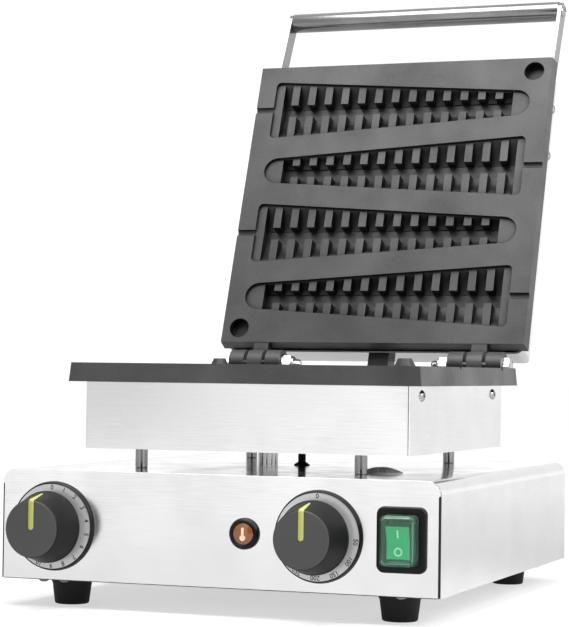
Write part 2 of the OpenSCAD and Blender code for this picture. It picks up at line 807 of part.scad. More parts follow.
module mould_tool() {
    translate([0, 0, -recess_depth]) linear_extrude(recess_depth + 1) polygon(mould_outline());
    for (s = slots) slot_tool(s[0], s[1]);
    translate([slots[0][0], -channel_w / 2, -recess_depth - slot_depth])
        cube([slots[tooth_count][1] - slots[0][0], channel_w, slot_depth + 1]);
    bar_x(-plate_w / 2, 1, 0, 0, stick_d);
}

module all_mould_tools() {
    for (i = [0 : 3])
        translate([0, plate_mid + (i - 1.5) * mould_pitch, 0])
            mirror([i % 2, 0, 0]) translate([-mould_l / 2, 0, 0]) mould_tool();
}

// Rim of a plate standing on z = 0, with drafted edges; its small face is up.
module plate_rim(t) {
    w = plate_w / 2;
    intersection() {
        along_y(plate_y, plate_back)
            polygon([[-w, 0], [w, 0], [w - plate_draft, t], [-w + plate_draft, t]]);
        along_x(-w, w) polygon([[plate_y, 0], [plate_back, 0], [plate_back - plate_draft, t],
            [plate_y + plate_draft, t]]);
    }
}

knuckle_gap = 3;
knuckle_pitch = knuckle_w + knuckle_gap;
boss_places = [[-plate_w / 2 + boss_inset_x, plate_back - boss_inset_y],
    [plate_w / 2 - boss_inset_x, plate_y + boss_inset_y]];

// A knuckle about the pin with an arm to the plate, between the heights z0 and z1.
module hinge_lug(x, z0, z1) {
    bar_x(x - knuckle_w / 2, x + knuckle_w / 2, pin_y, pin_z, 2 * knuckle_r);
    translate([x - knuckle_w / 2, plate_back - 3, z0]) cube([knuckle_w, pin_back + 3, z1 - z0]);
}

module pin_bores() {
    bar_x(-plate_w, plate_w, pin_y, pin_z, pin_d + 2 * running_gap);
}

lug_t = 8.6;

module lower_plate() {
    belly_w = box_w - 2 * sheet_t - 0.4;
    belly_d = box_d - 2 * sheet_t - 0.4;
    color(dark_coating) seat() difference() {
        union() {
            translate([0, 0, box_top]) plate_rim(plate_t);
            translate([-belly_w / 2, box_mid - belly_d / 2, lower_back])
                cube([belly_w, belly_d, lower_belly_t + 1]);
            for (s = [-1, 1], k = [-1, 1])
                hinge_lug(s * hinge_x + k * knuckle_pitch, plate_top - lug_t - 0.4, plate_top - 0.4);
            for (p = boss_places) translate([p.x, p.y, plate_top - 1]) cylinder(d = 14, h = 1);
            for (p = boss_places) translate([p.x, p.y, plate_top]) cylinder(d1 = 14, d2 = 9, h = 5);
        }
        translate([0, 0, plate_top]) all_mould_tools();
        pin_bores();
        for (p = clamp_places) translate([p.x, p.y, lower_back - 1]) cylinder(d = stud_d, h = stud_hold + 1);
        for (s = [-1, 1], y = side_screw_y)
            bar_x(s < 0 ? -box_w / 2 : box_w / 2 - screw_grip, s < 0 ? -box_w / 2 + screw_grip : box_w / 2,
                y, side_screw_z, screw_d);
    }
}

nut_af = 15;
bolt_tail = 14.5;

module hinge_bolts() {
    x_in = hinge_x - knuckle_pitch - knuckle_w / 2;
    x_out = hinge_x + knuckle_pitch + knuckle_w / 2;
    color(bare_metal) seat() for (s = [0, 1]) mirror([s, 0, 0]) {
        bar_x(x_in - bolt_tail, x_out, pin_y, pin_z, pin_d);
        translate([x_out, pin_y, pin_z]) rotate([0, 90, 0]) cylinder(d = nut_af, h = 5.3, $fn = 6);
    }
}

module hinge_nuts() {
    x_in = hinge_x - knuckle_pitch - knuckle_w / 2;
    color(bare_metal) seat() for (s = [0, 1]) mirror([s, 0, 0])
        translate([x_in - 9.6, pin_y, pin_z]) rotate([0, 90, 0]) difference() {
            union() {
                translate([0, 0, 1.6]) cylinder(d = nut_af, h = 6.4, $fn = 6);
                cylinder(d = 11.4, h = 2);
                translate([0, 0, 8]) cylinder(d = 16, h = 1.6);
            }
            translate([0, 0, -1]) cylinder(d = pin_d, h = 12);
        }
}

// Lid ------------------------------------------------------------------------------------------------

cover_front = plate_y + 2.5;
cover_rear = plate_back + 2.3;
cover_places = [for (x = [-1, 1], y = [-1, 1])
    [x * (plate_w / 2 - 24), plate_mid + y * (plate_d / 2 - 18)]];
boss_hole_d = 16;
boss_hole_depth = 8;

module upper_plate() {
    belly_w = 2 * arm_in - 1;
    belly_y0 = cover_front + sheet_t + 0.5;
    belly_y1 = cover_rear - sheet_t - 3;
    color(dark_coating) lid_seat() difference() {
        union() {
            translate([0, 0, rim_top]) mirror([0, 0, 1]) plate_rim(upper_t);
            translate([-belly_w / 2, belly_y0, rim_top - 1])
                cube([belly_w, belly_y1 - belly_y0, upper_belly_t + 1]);
            for (s = [-1, 1]) hinge_lug(s * hinge_x, mate_z + 0.4, mate_z + 0.4 + lug_t);
        }
        translate([0, 0, mate_z]) mirror([0, 0, 1]) all_mould_tools();
        pin_bores();
        for (p = boss_places)
            translate([p.x, p.y, mate_z - 1]) cylinder(d = boss_hole_d, h = boss_hole_depth + 1);
        for (p = clamp_places)
            translate([p.x, p.y, belly_top - stud_hold]) cylinder(d = stud_d, h = stud_hold + 1);
        for (p = cover_places)
            translate([p.x, p.y, belly_top - stud_hold]) cylinder(d = stud_d, h = stud_hold + 1);
    }
}

// Solid of the cover's outside, or of its inside when inset by the sheet.
module cover_solid(inset) {
    w = cover_half - inset;
    r = cover_r - inset;
    y0 = cover_front + inset;
    y1 = cover_rear - inset;
    top = cover_top - inset;
    intersection() {
        along_y(y0, y1) polygon(concat([[-w, rim_top - inset], [w, rim_top - inset]],
            arc(w - r, top - r, r, 0, 90, 6), arc(-w + r, top - r, r, 90, 180, 6)));
        along_x(-w, w) polygon(concat([[y0, rim_top - inset], [y1, rim_top - inset]],
            arc(y1 - r, top - r, r, 0, 90, 6), arc(y0 + r, top - r, r, 90, 180, 6)));
        translate([0, (y0 + y1) / 2, rim_top - inset]) linear_extrude(cover_h + 1)
            polygon(round_rect(2 * w, y1 - y0, r, 6));
    }
}

module lid_cover() {
    color(steel) lid_seat() difference() {
        cover_solid(0);
        cover_solid(sheet_t);
        for (s = [0, 1]) mirror([s, 0, 0]) along_x(arm_in - arm_gap, arm_out + arm_gap)
            intersection() {
                polygon(arm_outline(arm_w + 0.8));
                translate([cover_front - 20, rim_top]) square([21.2 + cover_r, cover_h + 10]);
            }
        for (p = cover_places) translate([p.x, p.y, cover_top - 5]) cylinder(d = stud_d, h = 10);
        for (y = arm_screw_y) bar_x(-plate_w, plate_w, y, arm_z, screw_d);
        bar_y(cover_rear - 5, cover_rear + 5, outlet_x, outlet_z, 8);
    }
}

module lid_cover_nuts() {
    color(bare_metal) lid_seat() for (p = cover_places) translate([p.x, p.y, 0]) {
        translate([0, 0, belly_top - stud_hold]) cylinder(d = stud_d, h = cover_top - belly_top + stud_hold);
        translate([0, 0, cover_top]) cylinder(d = stud_nut_w, h = 4, $fn = 6);
        translate([0, 0, cover_top + 4]) dome_head(stud_nut_w - 1.2, 3);
    }
}

upper_rod_z = belly_top + seat_gap + element_d / 2;
upper_clamp_z = belly_top + 2 * seat_gap + element_d;

module upper_element() { color("#6e6a66") lid_seat() translate([0, 0, upper_rod_z]) element_rod(); }
module upper_clamp_plate() { color(steel) lid_seat() translate([0, 0, upper_clamp_z]) clamp_sheet(); }

module upper_clamp_nuts() {
    color(bare_metal) lid_seat() translate([0, 0, upper_clamp_z + sheet_t])
        clamp_studs(upper_clamp_z + sheet_t - belly_top + stud_hold, 5.5);
}

module lid_insulation() {
    z0 = upper_clamp_z + sheet_t;
    z1 = cover_top - sheet_t - 0.2;
    w = 2 * arm_in - 3;
    y0 = cover_front + cover_r + 1;
    y1 = cover_rear - cover_r - 1;
    color("#e6dfc8") lid_seat() difference() {
        translate([-w / 2, y0, z0]) cube([w, y1 - y0, z1 - z0]);
        for (p = clamp_places) translate([p.x, p.y, z0 - 1]) cylinder(d = 12, h = 7.5);
        for (p = cover_places) translate([p.x, p.y, z0 - 1]) cylinder(d = 6, h = z1 - z0 + 2);
    }
}

// Handle arm seen from the side, as [y, z]: level inside the cover, then rising to the handle bar.
function arm_outline(w) =
    let (h = w / 2, k = atan2(grip_z - arm_z, kink_y - grip_y), m = h * tan(k / 2)) concat(
        [[arm_end_y, arm_z + h], [kink_y + m, arm_z + h]],
        arc(grip_y, grip_z, h, 90 - k, 270 - k, 10),
        [[kink_y - m, arm_z - h], [arm_end_y, arm_z - h]]);

module handle_arm() {
    difference() {
        along_x(arm_in, arm_out) polygon(arm_outline(arm_w));
        bar_x(0, plate_w, grip_y, grip_z, 5);
        for (y = arm_screw_y) bar_x(0, plate_w, y, arm_z, screw_d);
    }
}

module handle_arm_right() { color(steel) lid_seat() handle_arm(); }
module handle_arm_left() { color(steel) lid_seat() mirror([1, 0, 0]) handle_arm(); }

module handle_tube() {
    plug = 12;
    color(steel) lid_seat() difference() {
        bar_x(-arm_in, arm_in, grip_y, grip_z, grip_d);
        bar_x(-arm_in + plug, arm_in - plug, grip_y, grip_z, grip_d - 3);
        for (s = [-1, 1]) bar_x(s * (arm_in - plug / 2) - plug / 2, s * (arm_in - plug / 2) + plug / 2,
            grip_y, grip_z, 5);
    }
}

module handle_screws() {
    color(bare_metal) lid_seat() for (s = [0, 1]) mirror([s, 0, 0]) {
        bar_x(arm_in - 10, arm_out, grip_y, grip_z, 5);
        translate([arm_out, grip_y, grip_z]) rotate([0, 90, 0]) dome_head(11.5, 2.8);
    }
}

// Screws through the cover's sides that hold the handle arms, with nuts inside.
module arm_screws() {
    color(bare_metal) lid_seat() for (s = [0, 1], y = arm_screw_y) mirror([s, 0, 0]) {
        translate([cover_half, y, arm_z]) rotate([0, 90, 0]) dome_head(screw_head_d, 2.6);
        bar_x(arm_in - 0.5, cover_half, y, arm_z, screw_d);
    }
}

outlet_z = rim_top + 9;
outlet_l = 13;

// Block on the cover's hinge side where the upper element's lead comes out.
module lid_outlet_block() {
    color(black_plastic) lid_seat() difference() {
        translate([outlet_x - 8.2, cover_rear, outlet_z - 8]) cube([16.4, outlet_l, 17]);
        bar_y(cover_rear - 1, cover_rear + outlet_l + 1, outlet_x, outlet_z, 8);
    }
}

module lid_outlet_gland() {
    y = cover_rear + outlet_l;
    color(bare_metal) lid_seat() difference() {
        union() {
            translate([outlet_x, y + 5, outlet_z]) rotate([90, 0, 0]) cylinder(d = 14.6, h = 5, $fn = 6);
            translate([outlet_x, y + 5, outlet_z]) rotate([-90, 0, 0]) cylinder(d1 = 12.4, d2 = 10, h = 6);
        }
        bar_y(y - 1, y + 12, outlet_x, outlet_z, 7);
    }
}

base_shell();
front_panel();
rear_panel();
bottom_plate();
bottom_screws();
rubber_feet();
foot_screws();
timer_body();
timer_bezel();
timer_scale_ring();
timer_shaft();
timer_knob();
timer_pointer();
thermostat_body();
thermostat_bezel();
thermostat_scale_ring();
thermostat_shaft();
thermostat_knob();
thermostat_pointer();
thermostat_capillary();
sensor_sleeve();
sensor_grommet();
lamp_bezel();
lamp_lens();
lamp_body();
switch_frame();
switch_cover();
switch_body();
switch_rocker();
terminal_block();
mains_gland();
lid_lead_gland();
vent_cap();
standoff_posts();
post_bolts();
wiring_fitting();
heater_box();
heater_box_screws();
lower_element();
lower_clamp_plate();
lower_clamp_nuts();
lower_insulation();
lower_plate();
hinge_bolts();
hinge_nuts();
upper_plate();
lid_cover();
lid_cover_nuts();
upper_element();
upper_clamp_plate();
upper_clamp_nuts();
lid_insulation();
handle_arm_left();
handle_arm_right();
handle_tube();
handle_screws();
arm_screws();
lid_outlet_block();
lid_outlet_gland();
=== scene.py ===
"""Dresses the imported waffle-stick maker: sheet steel base and heater box, coated mould plates, dials, switch and lid.

Every piece is worked out in millimetres in the panel frame: X to the right, Y backwards from the front
panel's face, Z up from the floor. Lid pieces are worked out with the lid shut and then swung open about
the hinge pin, which is how the model rests.
"""

import json
import logging
import math
from dataclasses import dataclass, field
from enum import Enum
from typing import Any, Callable, Iterable, Sequence

import bmesh
import bpy
import numpy as np
from mathutils import Matrix, Vector
from numpy.typing import NDArray


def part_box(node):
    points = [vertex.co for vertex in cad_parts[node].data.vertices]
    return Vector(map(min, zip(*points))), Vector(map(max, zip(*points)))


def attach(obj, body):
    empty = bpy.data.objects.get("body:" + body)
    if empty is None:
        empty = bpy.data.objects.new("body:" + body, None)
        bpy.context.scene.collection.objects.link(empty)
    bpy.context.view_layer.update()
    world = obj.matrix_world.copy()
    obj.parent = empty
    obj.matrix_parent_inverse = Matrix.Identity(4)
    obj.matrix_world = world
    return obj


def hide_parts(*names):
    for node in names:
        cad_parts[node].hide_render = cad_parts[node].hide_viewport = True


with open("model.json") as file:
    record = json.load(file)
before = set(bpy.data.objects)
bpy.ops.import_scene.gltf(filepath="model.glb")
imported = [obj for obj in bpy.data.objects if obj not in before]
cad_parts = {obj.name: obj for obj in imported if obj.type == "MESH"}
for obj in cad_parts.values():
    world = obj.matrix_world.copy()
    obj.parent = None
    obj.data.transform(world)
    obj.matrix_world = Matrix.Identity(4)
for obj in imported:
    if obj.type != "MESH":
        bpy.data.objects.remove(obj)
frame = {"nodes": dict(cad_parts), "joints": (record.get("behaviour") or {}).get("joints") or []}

Array = NDArray[np.float64]
Profile = list[tuple[float, float]]
log = logging.getLogger("waffle_stick_maker")
MM = 0.001
MERGE_M = 1e-7  # points of a built mesh nearer than this are one
CAD_MERGE_M = 2e-6  # the same for a CAD node's loose triangles
FLAT_DEG = 0.6  # neighbouring CAD triangles under this angle are one face
SHARP_DEG = 30  # edges over this angle are bevelled


# ---------------------------------------------------------------- colours and node trees

def linear_rgba(colour: str) -> tuple[float, float, float, float]:
    """Turns an sRGB hex colour into the linear values that shader sockets take.

    A value v becomes v / 12.92 up to 0.04045, and ((v + 0.055) / 1.055) ^ 2.4 above it.

    Args:
        colour: Six hex digits after a hash, such as "#c0c0c0".

    Returns:
        Linear red, green and blue, and 1 for alpha.
    """
    values = [int(colour[i : i + 2], 16) / 255 for i in (1, 3, 5)]
    linear = [v / 12.92 if v <= 0.04045 else ((v + 0.055) / 1.055) ** 2.4 for v in values]
    return (linear[0], linear[1], linear[2], 1.0)


def add_node(tree: bpy.types.NodeTree, kind: str, inputs: dict[Any, Any] | None = None, **settings: Any) -> Any:
    """Adds a shader node with its settings and its links.

    Args:
        tree: The node tree to add to.
        kind: The node's type name.
        inputs: Socket name or number, to a value or to the output socket that feeds it.
        **settings: Properties of the node itself.

    Returns:
        The new node.
    """
    node = tree.nodes.new(kind)
    for name, value in settings.items():
        setattr(node, name, value)
    for name, value in (inputs or {}).items():
        if isinstance(value, bpy.types.NodeSocket):
            tree.links.new(value, node.inputs[name])
        else:
            node.inputs[name].default_value = value
    return node


class Grain(Enum):
    """How a surface was made, which sets its pattern."""

    BRUSHED = "fine level scratches left by a belt, across X and Y"
    DRAWN = "fine lines along X, as on tube"
    CAST = "sand-cast bumps under a sprayed coating"
    MOULDED = "spark-eroded mould texture"
    SMOOTH = "plain surface with faint unevenness"


LONG_GRAIN = 60  # length of a brushed or drawn line over its width
SLOW_MM = 40  # width of the slow unevenness
NOISE_SUM = (0.7, 1.3)  # the two noises' sum where the pattern is lowest and highest
LEAST_ROUGHNESS = 0.02
COAT_ROUGHNESS = 0.12
PAINTED_SHADE_OPEN = (0.58, 0.97)  # how open a corner is where its painted shade is full and where it ends


@dataclass(frozen=True)
class Finish:
    """One real material and how its surface was made.

    Attributes:
        name: The material's common name.
        colour: sRGB hex colour of clean material.
        shade: sRGB hex colour in the low or worn places of the pattern.
        metallic: 1 for bare metal.
        roughness: Middle value of the roughness.
        spread: How far the pattern moves the roughness each way.
        grain: The pattern.
        grain_mm: Width of one grain, scratch or bump.
        relief_mm: Height of the pattern.
        coat: Weight of a clear layer on top.
        transmission: Weight of light that passes through.
        ior: Index of refraction of what isn't metal.
        glow: Emission strength in the material's own colour.
        crevice_mm: Reach of the painted shade that darkens corners and slots, 0 for none.
        crevice_tint: sRGB hex colour that the painted shade multiplies in.
    """

    name: str
    colour: str
    shade: str
    metallic: float = 0.0
    roughness: float = 0.5
    spread: float = 0.05
    grain: Grain = Grain.SMOOTH
    grain_mm: float = 1.0
    relief_mm: float = 0.01
    coat: float = 0.0
    transmission: float = 0.0
    ior: float = 1.5
    glow: float = 0.0
    crevice_mm: float = 0.0
    crevice_tint: str = "#101010"

    def stretch(self) -> tuple[float, float, float]:
        """Gives how often the pattern repeats along X, Y and Z: 1 / grain width, and less along a line.

        Returns:
            Repeats per metre along each axis.
        """
        fine = 1 / (self.grain_mm * MM)
        long = fine / LONG_GRAIN
        return {
            Grain.BRUSHED: (long, long, fine),
            Grain.DRAWN: (long, fine, fine),
        }.get(self.grain, (fine, fine, fine))

    def material(self) -> bpy.types.Material:
        """Builds the material, or returns the one already built.

        The pattern is a noise on Object coordinates, stretched by the grain, which raises the surface a
        little. Added to it is a slow noise, SLOW_MM wide, of handled surfaces. Their sum, stretched to 0 to
        1, is the level: the colour goes from shade to colour with it, and the roughness from roughness +
        spread to roughness - spread. Where a reach for painted shade is set, the colour is multiplied by the
        tint in places that are closed in, and less so the more open they are: painted shade.

        Returns:
            The Blender material.
        """
        known = bpy.data.materials.get(self.name)
        if known:
            return known
        mat = bpy.data.materials.new(self.name)
        mat.use_nodes = True
        tree = mat.node_tree
        tree.nodes.clear()
        where = add_node(tree, "ShaderNodeTexCoord")
        mapped = add_node(tree, "ShaderNodeMapping", {"Vector": where.outputs["Object"], "Scale": self.stretch()})
        fine = add_node(
            tree,
            "ShaderNodeTexNoise",
            {"Vector": mapped.outputs[0], "Scale": 1.0, "Detail": 3.0, "Roughness": 0.6},
        )
        slow = add_node(
            tree,
            "ShaderNodeTexNoise",
            {"Vector": where.outputs["Object"], "Scale": 1 / (SLOW_MM * MM), "Detail": 2.0, "Roughness": 0.5},
        )
        mixed = add_node(
            tree,
            "ShaderNodeMath",
            {0: fine.outputs["Fac"], 1: slow.outputs["Fac"]},
            operation="ADD",
        )
        least, most = NOISE_SUM
        level = add_node(
            tree,
            "ShaderNodeMapRange",
            {"Value": mixed.outputs[0], "From Min": least, "From Max": most, "To Min": 0.0, "To Max": 1.0},
        )
        tint = add_node(
            tree,
            "ShaderNodeMix",
            {0: level.outputs[0], 6: linear_rgba(self.shade), 7: linear_rgba(self.colour)},
            data_type="RGBA",
        )
        rough = add_node(
            tree,
            "ShaderNodeMapRange",
            {
                "Value": level.outputs[0],
                "From Min": 0.0,
                "From Max": 1.0,
                "To Min": self.roughness + self.spread,
                "To Max": max(LEAST_ROUGHNESS, self.roughness - self.spread),
            },
        )
        bump = add_node(
            tree,
            "ShaderNodeBump",
            {"Height": fine.outputs["Fac"], "Distance": self.relief_mm * MM, "Strength": 1.0},
        )
        colour = tint.outputs[2]
        # Painted shade: ambient occlusion multiplies the tint into the colour in corners and slots, where shade falls.
        if self.crevice_mm:
            reach = {"Distance": self.crevice_mm * MM}
            open_share = add_node(tree, "ShaderNodeAmbientOcclusion", reach, only_local=True, samples=8).outputs["AO"]
            full, none = PAINTED_SHADE_OPEN
            inputs = {"Value": open_share, "From Min": full, "From Max": none, "To Min": 0.0, "To Max": 1.0}
            clear = add_node(tree, "ShaderNodeMapRange", inputs).outputs[0]
            inputs = {0: clear, 6: linear_rgba(self.crevice_tint), 7: (1, 1, 1, 1)}
            painted_shade = add_node(tree, "ShaderNodeMix", inputs, data_type="RGBA").outputs[2]
            inputs = {0: 1.0, 6: colour, 7: painted_shade}
            colour = add_node(tree, "ShaderNodeMix", inputs, data_type="RGBA", blend_type="MULTIPLY").outputs[2]
        surface: dict[Any, Any] = {
            "Base Color": colour,
            "Metallic": self.metallic,
            "Roughness": rough.outputs[0],
            "Normal": bump.outputs[0],
            "Coat Weight": self.coat,
            "Coat Roughness": COAT_ROUGHNESS,
            "Transmission Weight": self.transmission,
        }
        if self.metallic < 1:
            surface["IOR"] = self.ior
        if self.glow > 0:
            surface["Emission Color"] = linear_rgba(self.colour)
            surface["Emission Strength"] = self.glow
        shader = add_node(tree, "ShaderNodeBsdfPrincipled", surface)
        add_node(tree, "ShaderNodeOutputMaterial", {"Surface": shader.outputs[0]})
        return mat


# Stainless sheet, belt ground: bright, with level scratches that stretch its reflections upwards.
GROUND_STAINLESS = Finish(
    "ground stainless sheet", "#ebebeb", "#dfdfdf", 1.0, 0.15, 0.04, Grain.BRUSHED, 0.35, 0.0015
)
# Stainless sheet of the lid's cover, ground along its width.
COVER_STAINLESS = Finish(
    "ground stainless cover sheet", "#e4e4e4", "#d6d6d6", 1.0, 0.12, 0.04, Grain.BRUSHED, 0.35, 0.0012
)
# Stainless tube and bar, drawn and polished along its length, coloured darker than the sheet as painted shade for the
# dark band in its reflections.
DRAWN_STAINLESS_PAINTED_DARK = Finish("drawn stainless tube", "#969696", "#7c7c7c", 1.0, 0.16, 0.05, Grain.DRAWN, 0.3, 0.002)
# Zinc-plated steel fasteners: bright, a little blue, slightly cloudy.
ZINC_PLATE = Finish("zinc plated steel", "#b8b9bb", "#9c9d9f", 1.0, 0.12, 0.05, Grain.SMOOTH, 0.8, 0.004)
# Non-stick coating sprayed on sand-cast aluminium: dark grey with a fine grain and a dull sheen; painted shade darkens
# its slots and corners.
NON_STICK = Finish(
    "non-stick coated cast aluminium",
    "#4c4c4c",
    "#303030",
    0.0,
    0.4,
    0.08,
    Grain.CAST,
    0.7,
    0.1,
    ior=1.38,
    crevice_mm=13.0,
)
# Anodised aluminium scale: satin silver.
ANODISED = Finish("satin anodised aluminium", "#e2e2e3", "#cfcfd0", 0.35, 0.4, 0.05, Grain.SMOOTH, 0.3, 0.002)
# Moulded nylon, black: broad soft highlights.
BLACK_NYLON = Finish(
    "moulded black nylon", "#0d0d0e", "#09090a", 0.0, 0.38, 0.05, Grain.MOULDED, 0.3, 0.01, ior=1.3
)
# Moulded nylon, light grey, with painted shade between its ribs: the vent cap.
GREY_NYLON = Finish(
    "moulded grey nylon", "#a6a6a6", "#8e8e8e", 0.0, 0.3, 0.05, Grain.MOULDED, 0.4, 0.01, coat=0.3, crevice_mm=2.0
)
# Moulded phenolic with an eroded texture: the knobs' sides, coloured dark grey as painted shade against the lighter
# faces of the same plastic.
PHENOLIC_PAINTED_SHADE = Finish(
    "moulded grey phenolic", "#121212", "#0d0d0d", 0.0, 0.46, 0.06, Grain.MOULDED, 0.35, 0.02, ior=1.3
)
# The same phenolic, a little smoother, coloured lighter as painted light: the knobs' faces.
PHENOLIC_PAINTED_LIGHT = Finish(
    "satin grey phenolic", "#474747", "#3f3f3f", 0.0, 0.36, 0.05, Grain.MOULDED, 0.3, 0.008, ior=1.5
)
# ABS, yellow-green, moulded into the knob.
LIME_ABS = Finish("moulded yellow-green abs", "#c3c56a", "#b2b45c", 0.0, 0.45, 0.04, Grain.MOULDED, 0.4, 0.006)
# Black natural rubber: dull, slightly dusty. It also makes the black strip of painted shade in the front panel's seam.
BLACK_RUBBER = Finish(
    "moulded black rubber", "#101010", "#171717", 0.0, 0.6, 0.08, Grain.MOULDED, 0.5, 0.02, ior=1.38
)
# Screen print on the scales.
PRINT_INK = Finish("black screen print ink", "#0e0e0e", "#0a0a0a", 0.0, 0.5, 0.02, Grain.SMOOTH, 0.2, 0.001)
# Pad print on the rocker.
WHITE_INK = Finish("white pad print ink", "#eef5f0", "#e2eae4", 0.0, 0.4, 0.02, Grain.SMOOTH, 0.2, 0.001, glow=0.9)
# Polycarbonate rocker, green and lit through.
GREEN_PC = Finish("green polycarbonate", "#3cc28c", "#34b480", 0.0, 0.3, 0.03, glow=0.75, ior=1.58)
# The rocker's sides, which the light doesn't reach.
DARK_GREEN_PC = Finish("dark green polycarbonate", "#1d4a3a", "#173c2f", 0.0, 0.35, 0.04, ior=1.45)
# Silicone boot: clear, a little green from what it covers.
CLEAR_SILICONE = Finish(
    "clear silicone rubber", "#a6d6be", "#9acfb4", 0.0, 0.14, 0.03, transmission=0.92, ior=1.38, relief_mm=0.001
)
# Polycarbonate lens, amber.
AMBER_PC = Finish("amber polycarbonate", "#a05c22", "#7c441a", 0.0, 0.14, 0.03, coat=0.6, ior=1.58)
# Pale print inside the lens, with a glow that is painted brightness: the lens itself does not glow.
CREAM_INK_PAINTED_GLOW = Finish("cream print ink", "#f0d2b4", "#e6c4a2", 0.0, 0.3, 0.02, glow=0.35)
# Copper capillary tube.
COPPER = Finish("drawn copper tube", "#b87344", "#9c5f38", 1.0, 0.3, 0.06, Grain.DRAWN, 0.4, 0.002)
# Annealed sheath of the heating rods: brown-grey oxide.
ANNEALED = Finish("annealed incoloy sheath", "#6e6a66", "#585450", 0.9, 0.45, 0.08, Grain.SMOOTH, 0.6, 0.01)
# Glazed porcelain terminal block.
PORCELAIN = Finish("glazed porcelain", "#e4e0d6", "#d8d4ca", 0.0, 0.2, 0.04, coat=0.5)
# Mineral fibre board.
FIBRE_BOARD = Finish("mineral fibre board", "#ddd5bc", "#c9c1a6", 0.0, 0.9, 0.05, Grain.CAST, 0.8, 0.15)


# ---------------------------------------------------------------- surfaces

def circle(radius: float | Array, count: int, start: float = 0.0) -> Array:
    """Points on a circle: radius times (cos a, sin a) for count equal steps of a.

    Args:
        radius: One radius, or one for each point.
        count: How many points.
        start: The first angle in degrees.

    Returns:
        An array of count by 2.
    """
    angle = np.radians(start) + np.arange(count) * 2 * np.pi / count
    return np.stack([np.cos(angle), np.sin(angle)], -1) * np.reshape(radius, (-1, 1))


def round_rect(width: float, height: float, radius: float, steps: int = 8) -> Array:
    """Rounded rectangle about the origin: four quarter circles joined by straight sides.

    Args:
        width: Size along the first axis.
        height: Size along the second axis.
        radius: Corner radius.
        steps: Points in each quarter, less one.

    Returns:
        An array of 4 (steps + 1) by 2, counter-clockwise from the right side's top.
    """
    radius = max(radius, 0.01)
    quarter = np.linspace(0, np.pi / 2, steps + 1)
    corners = np.array([[1, 1], [-1, 1], [-1, -1], [1, -1]]) * [width / 2 - radius, height / 2 - radius]
    angle = quarter[None, :] + np.arange(4)[:, None] * np.pi / 2
    rim = np.stack([np.cos(angle), np.sin(angle)], -1) * radius
    return (corners[:, None, :] + rim).reshape(-1, 2)


def stack(outlines: Sequence[Array], heights: Sequence[float]) -> Array:
    """Lays outlines of equal length at heights: ring k is (x, y, heights[k]) for outlines[k].

    Args:
        outlines: One array of n by 2 for each height.
        heights: The third coordinate of each ring.

    Returns:
        An array of k by n by 3.
    """
    rings = np.stack(outlines)
    third = np.broadcast_to(np.reshape(heights, (-1, 1, 1)), rings.shape[:2] + (1,))
    return np.concatenate([rings, third], -1)


def revolve(profile: Profile, count: int = 64) -> Array:
    """Turns a profile about the third axis: ring k is a circle of radius profile[k][0] at height profile[k][1].

    Args:
        profile: Radius and height of each ring.
        count: Points round each ring.

    Returns:
        An array of k by count by 3.
    """
    return stack([circle(max(r, 1e-4), count) for r, _ in profile], [h for _, h in profile])


def fillet(corner: tuple[float, float], radius: float, first: float, last: float, steps: int = 5) -> Profile:
    """Arc points in a profile: corner plus radius times (cos a, sin a), a from first to last degrees.

    Args:
        corner: The arc's centre.
        radius: The arc's radius.
        first: The first angle in degrees.
        last: The last angle in degrees.
        steps: Intervals along the arc.

    Returns:
        A list of steps + 1 pairs.
    """
    angle = np.radians(np.linspace(first, last, steps + 1))
    return [(corner[0] + radius * c, corner[1] + radius * s) for c, s in zip(np.cos(angle), np.sin(angle))]


def grid_faces(rings: int, around: int, closed_end: bool) -> list[tuple[int, ...]]:
    """Faces of a surface given ring by ring, each ring closed on itself.

    Point (i, j) is number i * around + j. A face joins (i, j), (i, j + 1), (i + 1, j + 1), (i + 1, j).

    Args:
        rings: Number of rings.
        around: Points in each ring.
        closed_end: True caps the first and the last ring with one face each.

    Returns:
        The faces as tuples of point numbers.
    """
    i = np.arange(rings - 1)[:, None] * around
    j = np.arange(around)[None, :]
    k = (j + 1) % around
    quads = np.stack([i + j, i + k, i + around + k, i + around + j], -1).reshape(-1, 4)
    faces = [tuple(q) for q in quads.tolist()]
    if closed_end:
        faces.append(tuple(range(around - 1, -1, -1)))
        faces.append(tuple(range((rings - 1) * around, rings * around)))
    return faces


def front_place(x: float, z: float) -> Array:
    """Placement for a piece on the front panel: first axis to X, second to Z, third out of the panel."""
    return np.array([[1, 0, 0, x], [0, 0, -1, 0], [0, 1, 0, z], [0, 0, 0, 1]], float)


def up_place(x: float, y: float, z: float) -> Array:
    """Placement for a piece that stands upright: the axes stay as they are."""
    return np.array([[1, 0, 0, x], [0, 1, 0, y], [0, 0, 1, z], [0, 0, 0, 1]], float)


def side_place(side: int, x: float, y: float, z: float) -> Array:
    """Placement for a piece whose third axis points along plus X for side 1, and minus X for side -1."""
    return np.array([[0, 0, side, x], [side, 0, 0, y], [0, 1, 0, z], [0, 0, 0, 1]], float)


def down_place(x: float, y: float, z: float) -> Array:
    """Placement for a piece whose third axis points down."""
    return np.array([[1, 0, 0, x], [0, -1, 0, y], [0, 0, -1, z], [0, 0, 0, 1]], float)


def back_place(x: float, y: float, z: float) -> Array:
    """Placement for a piece whose third axis points backwards, along plus Y."""
    return np.array([[-1, 0, 0, x], [0, 0, 1, y], [0, 1, 0, z], [0, 0, 0, 1]], float)


def moved(points: Array, place: Array) -> Array:
    """Applies a 4 by 4 placement to an array whose last axis is X, Y, Z."""
    return points @ place[:3, :3].T + place[:3, 3]


def mesh_points(mesh: bpy.types.Mesh) -> Array:
    """Reads a mesh's points.

    Args:
        mesh: The mesh, in metres.

    Returns:
        An array of n by 3.
    """
    points = np.empty(len(mesh.vertices) * 3)
    mesh.vertices.foreach_get("co", points)
    return points.reshape(-1, 3)


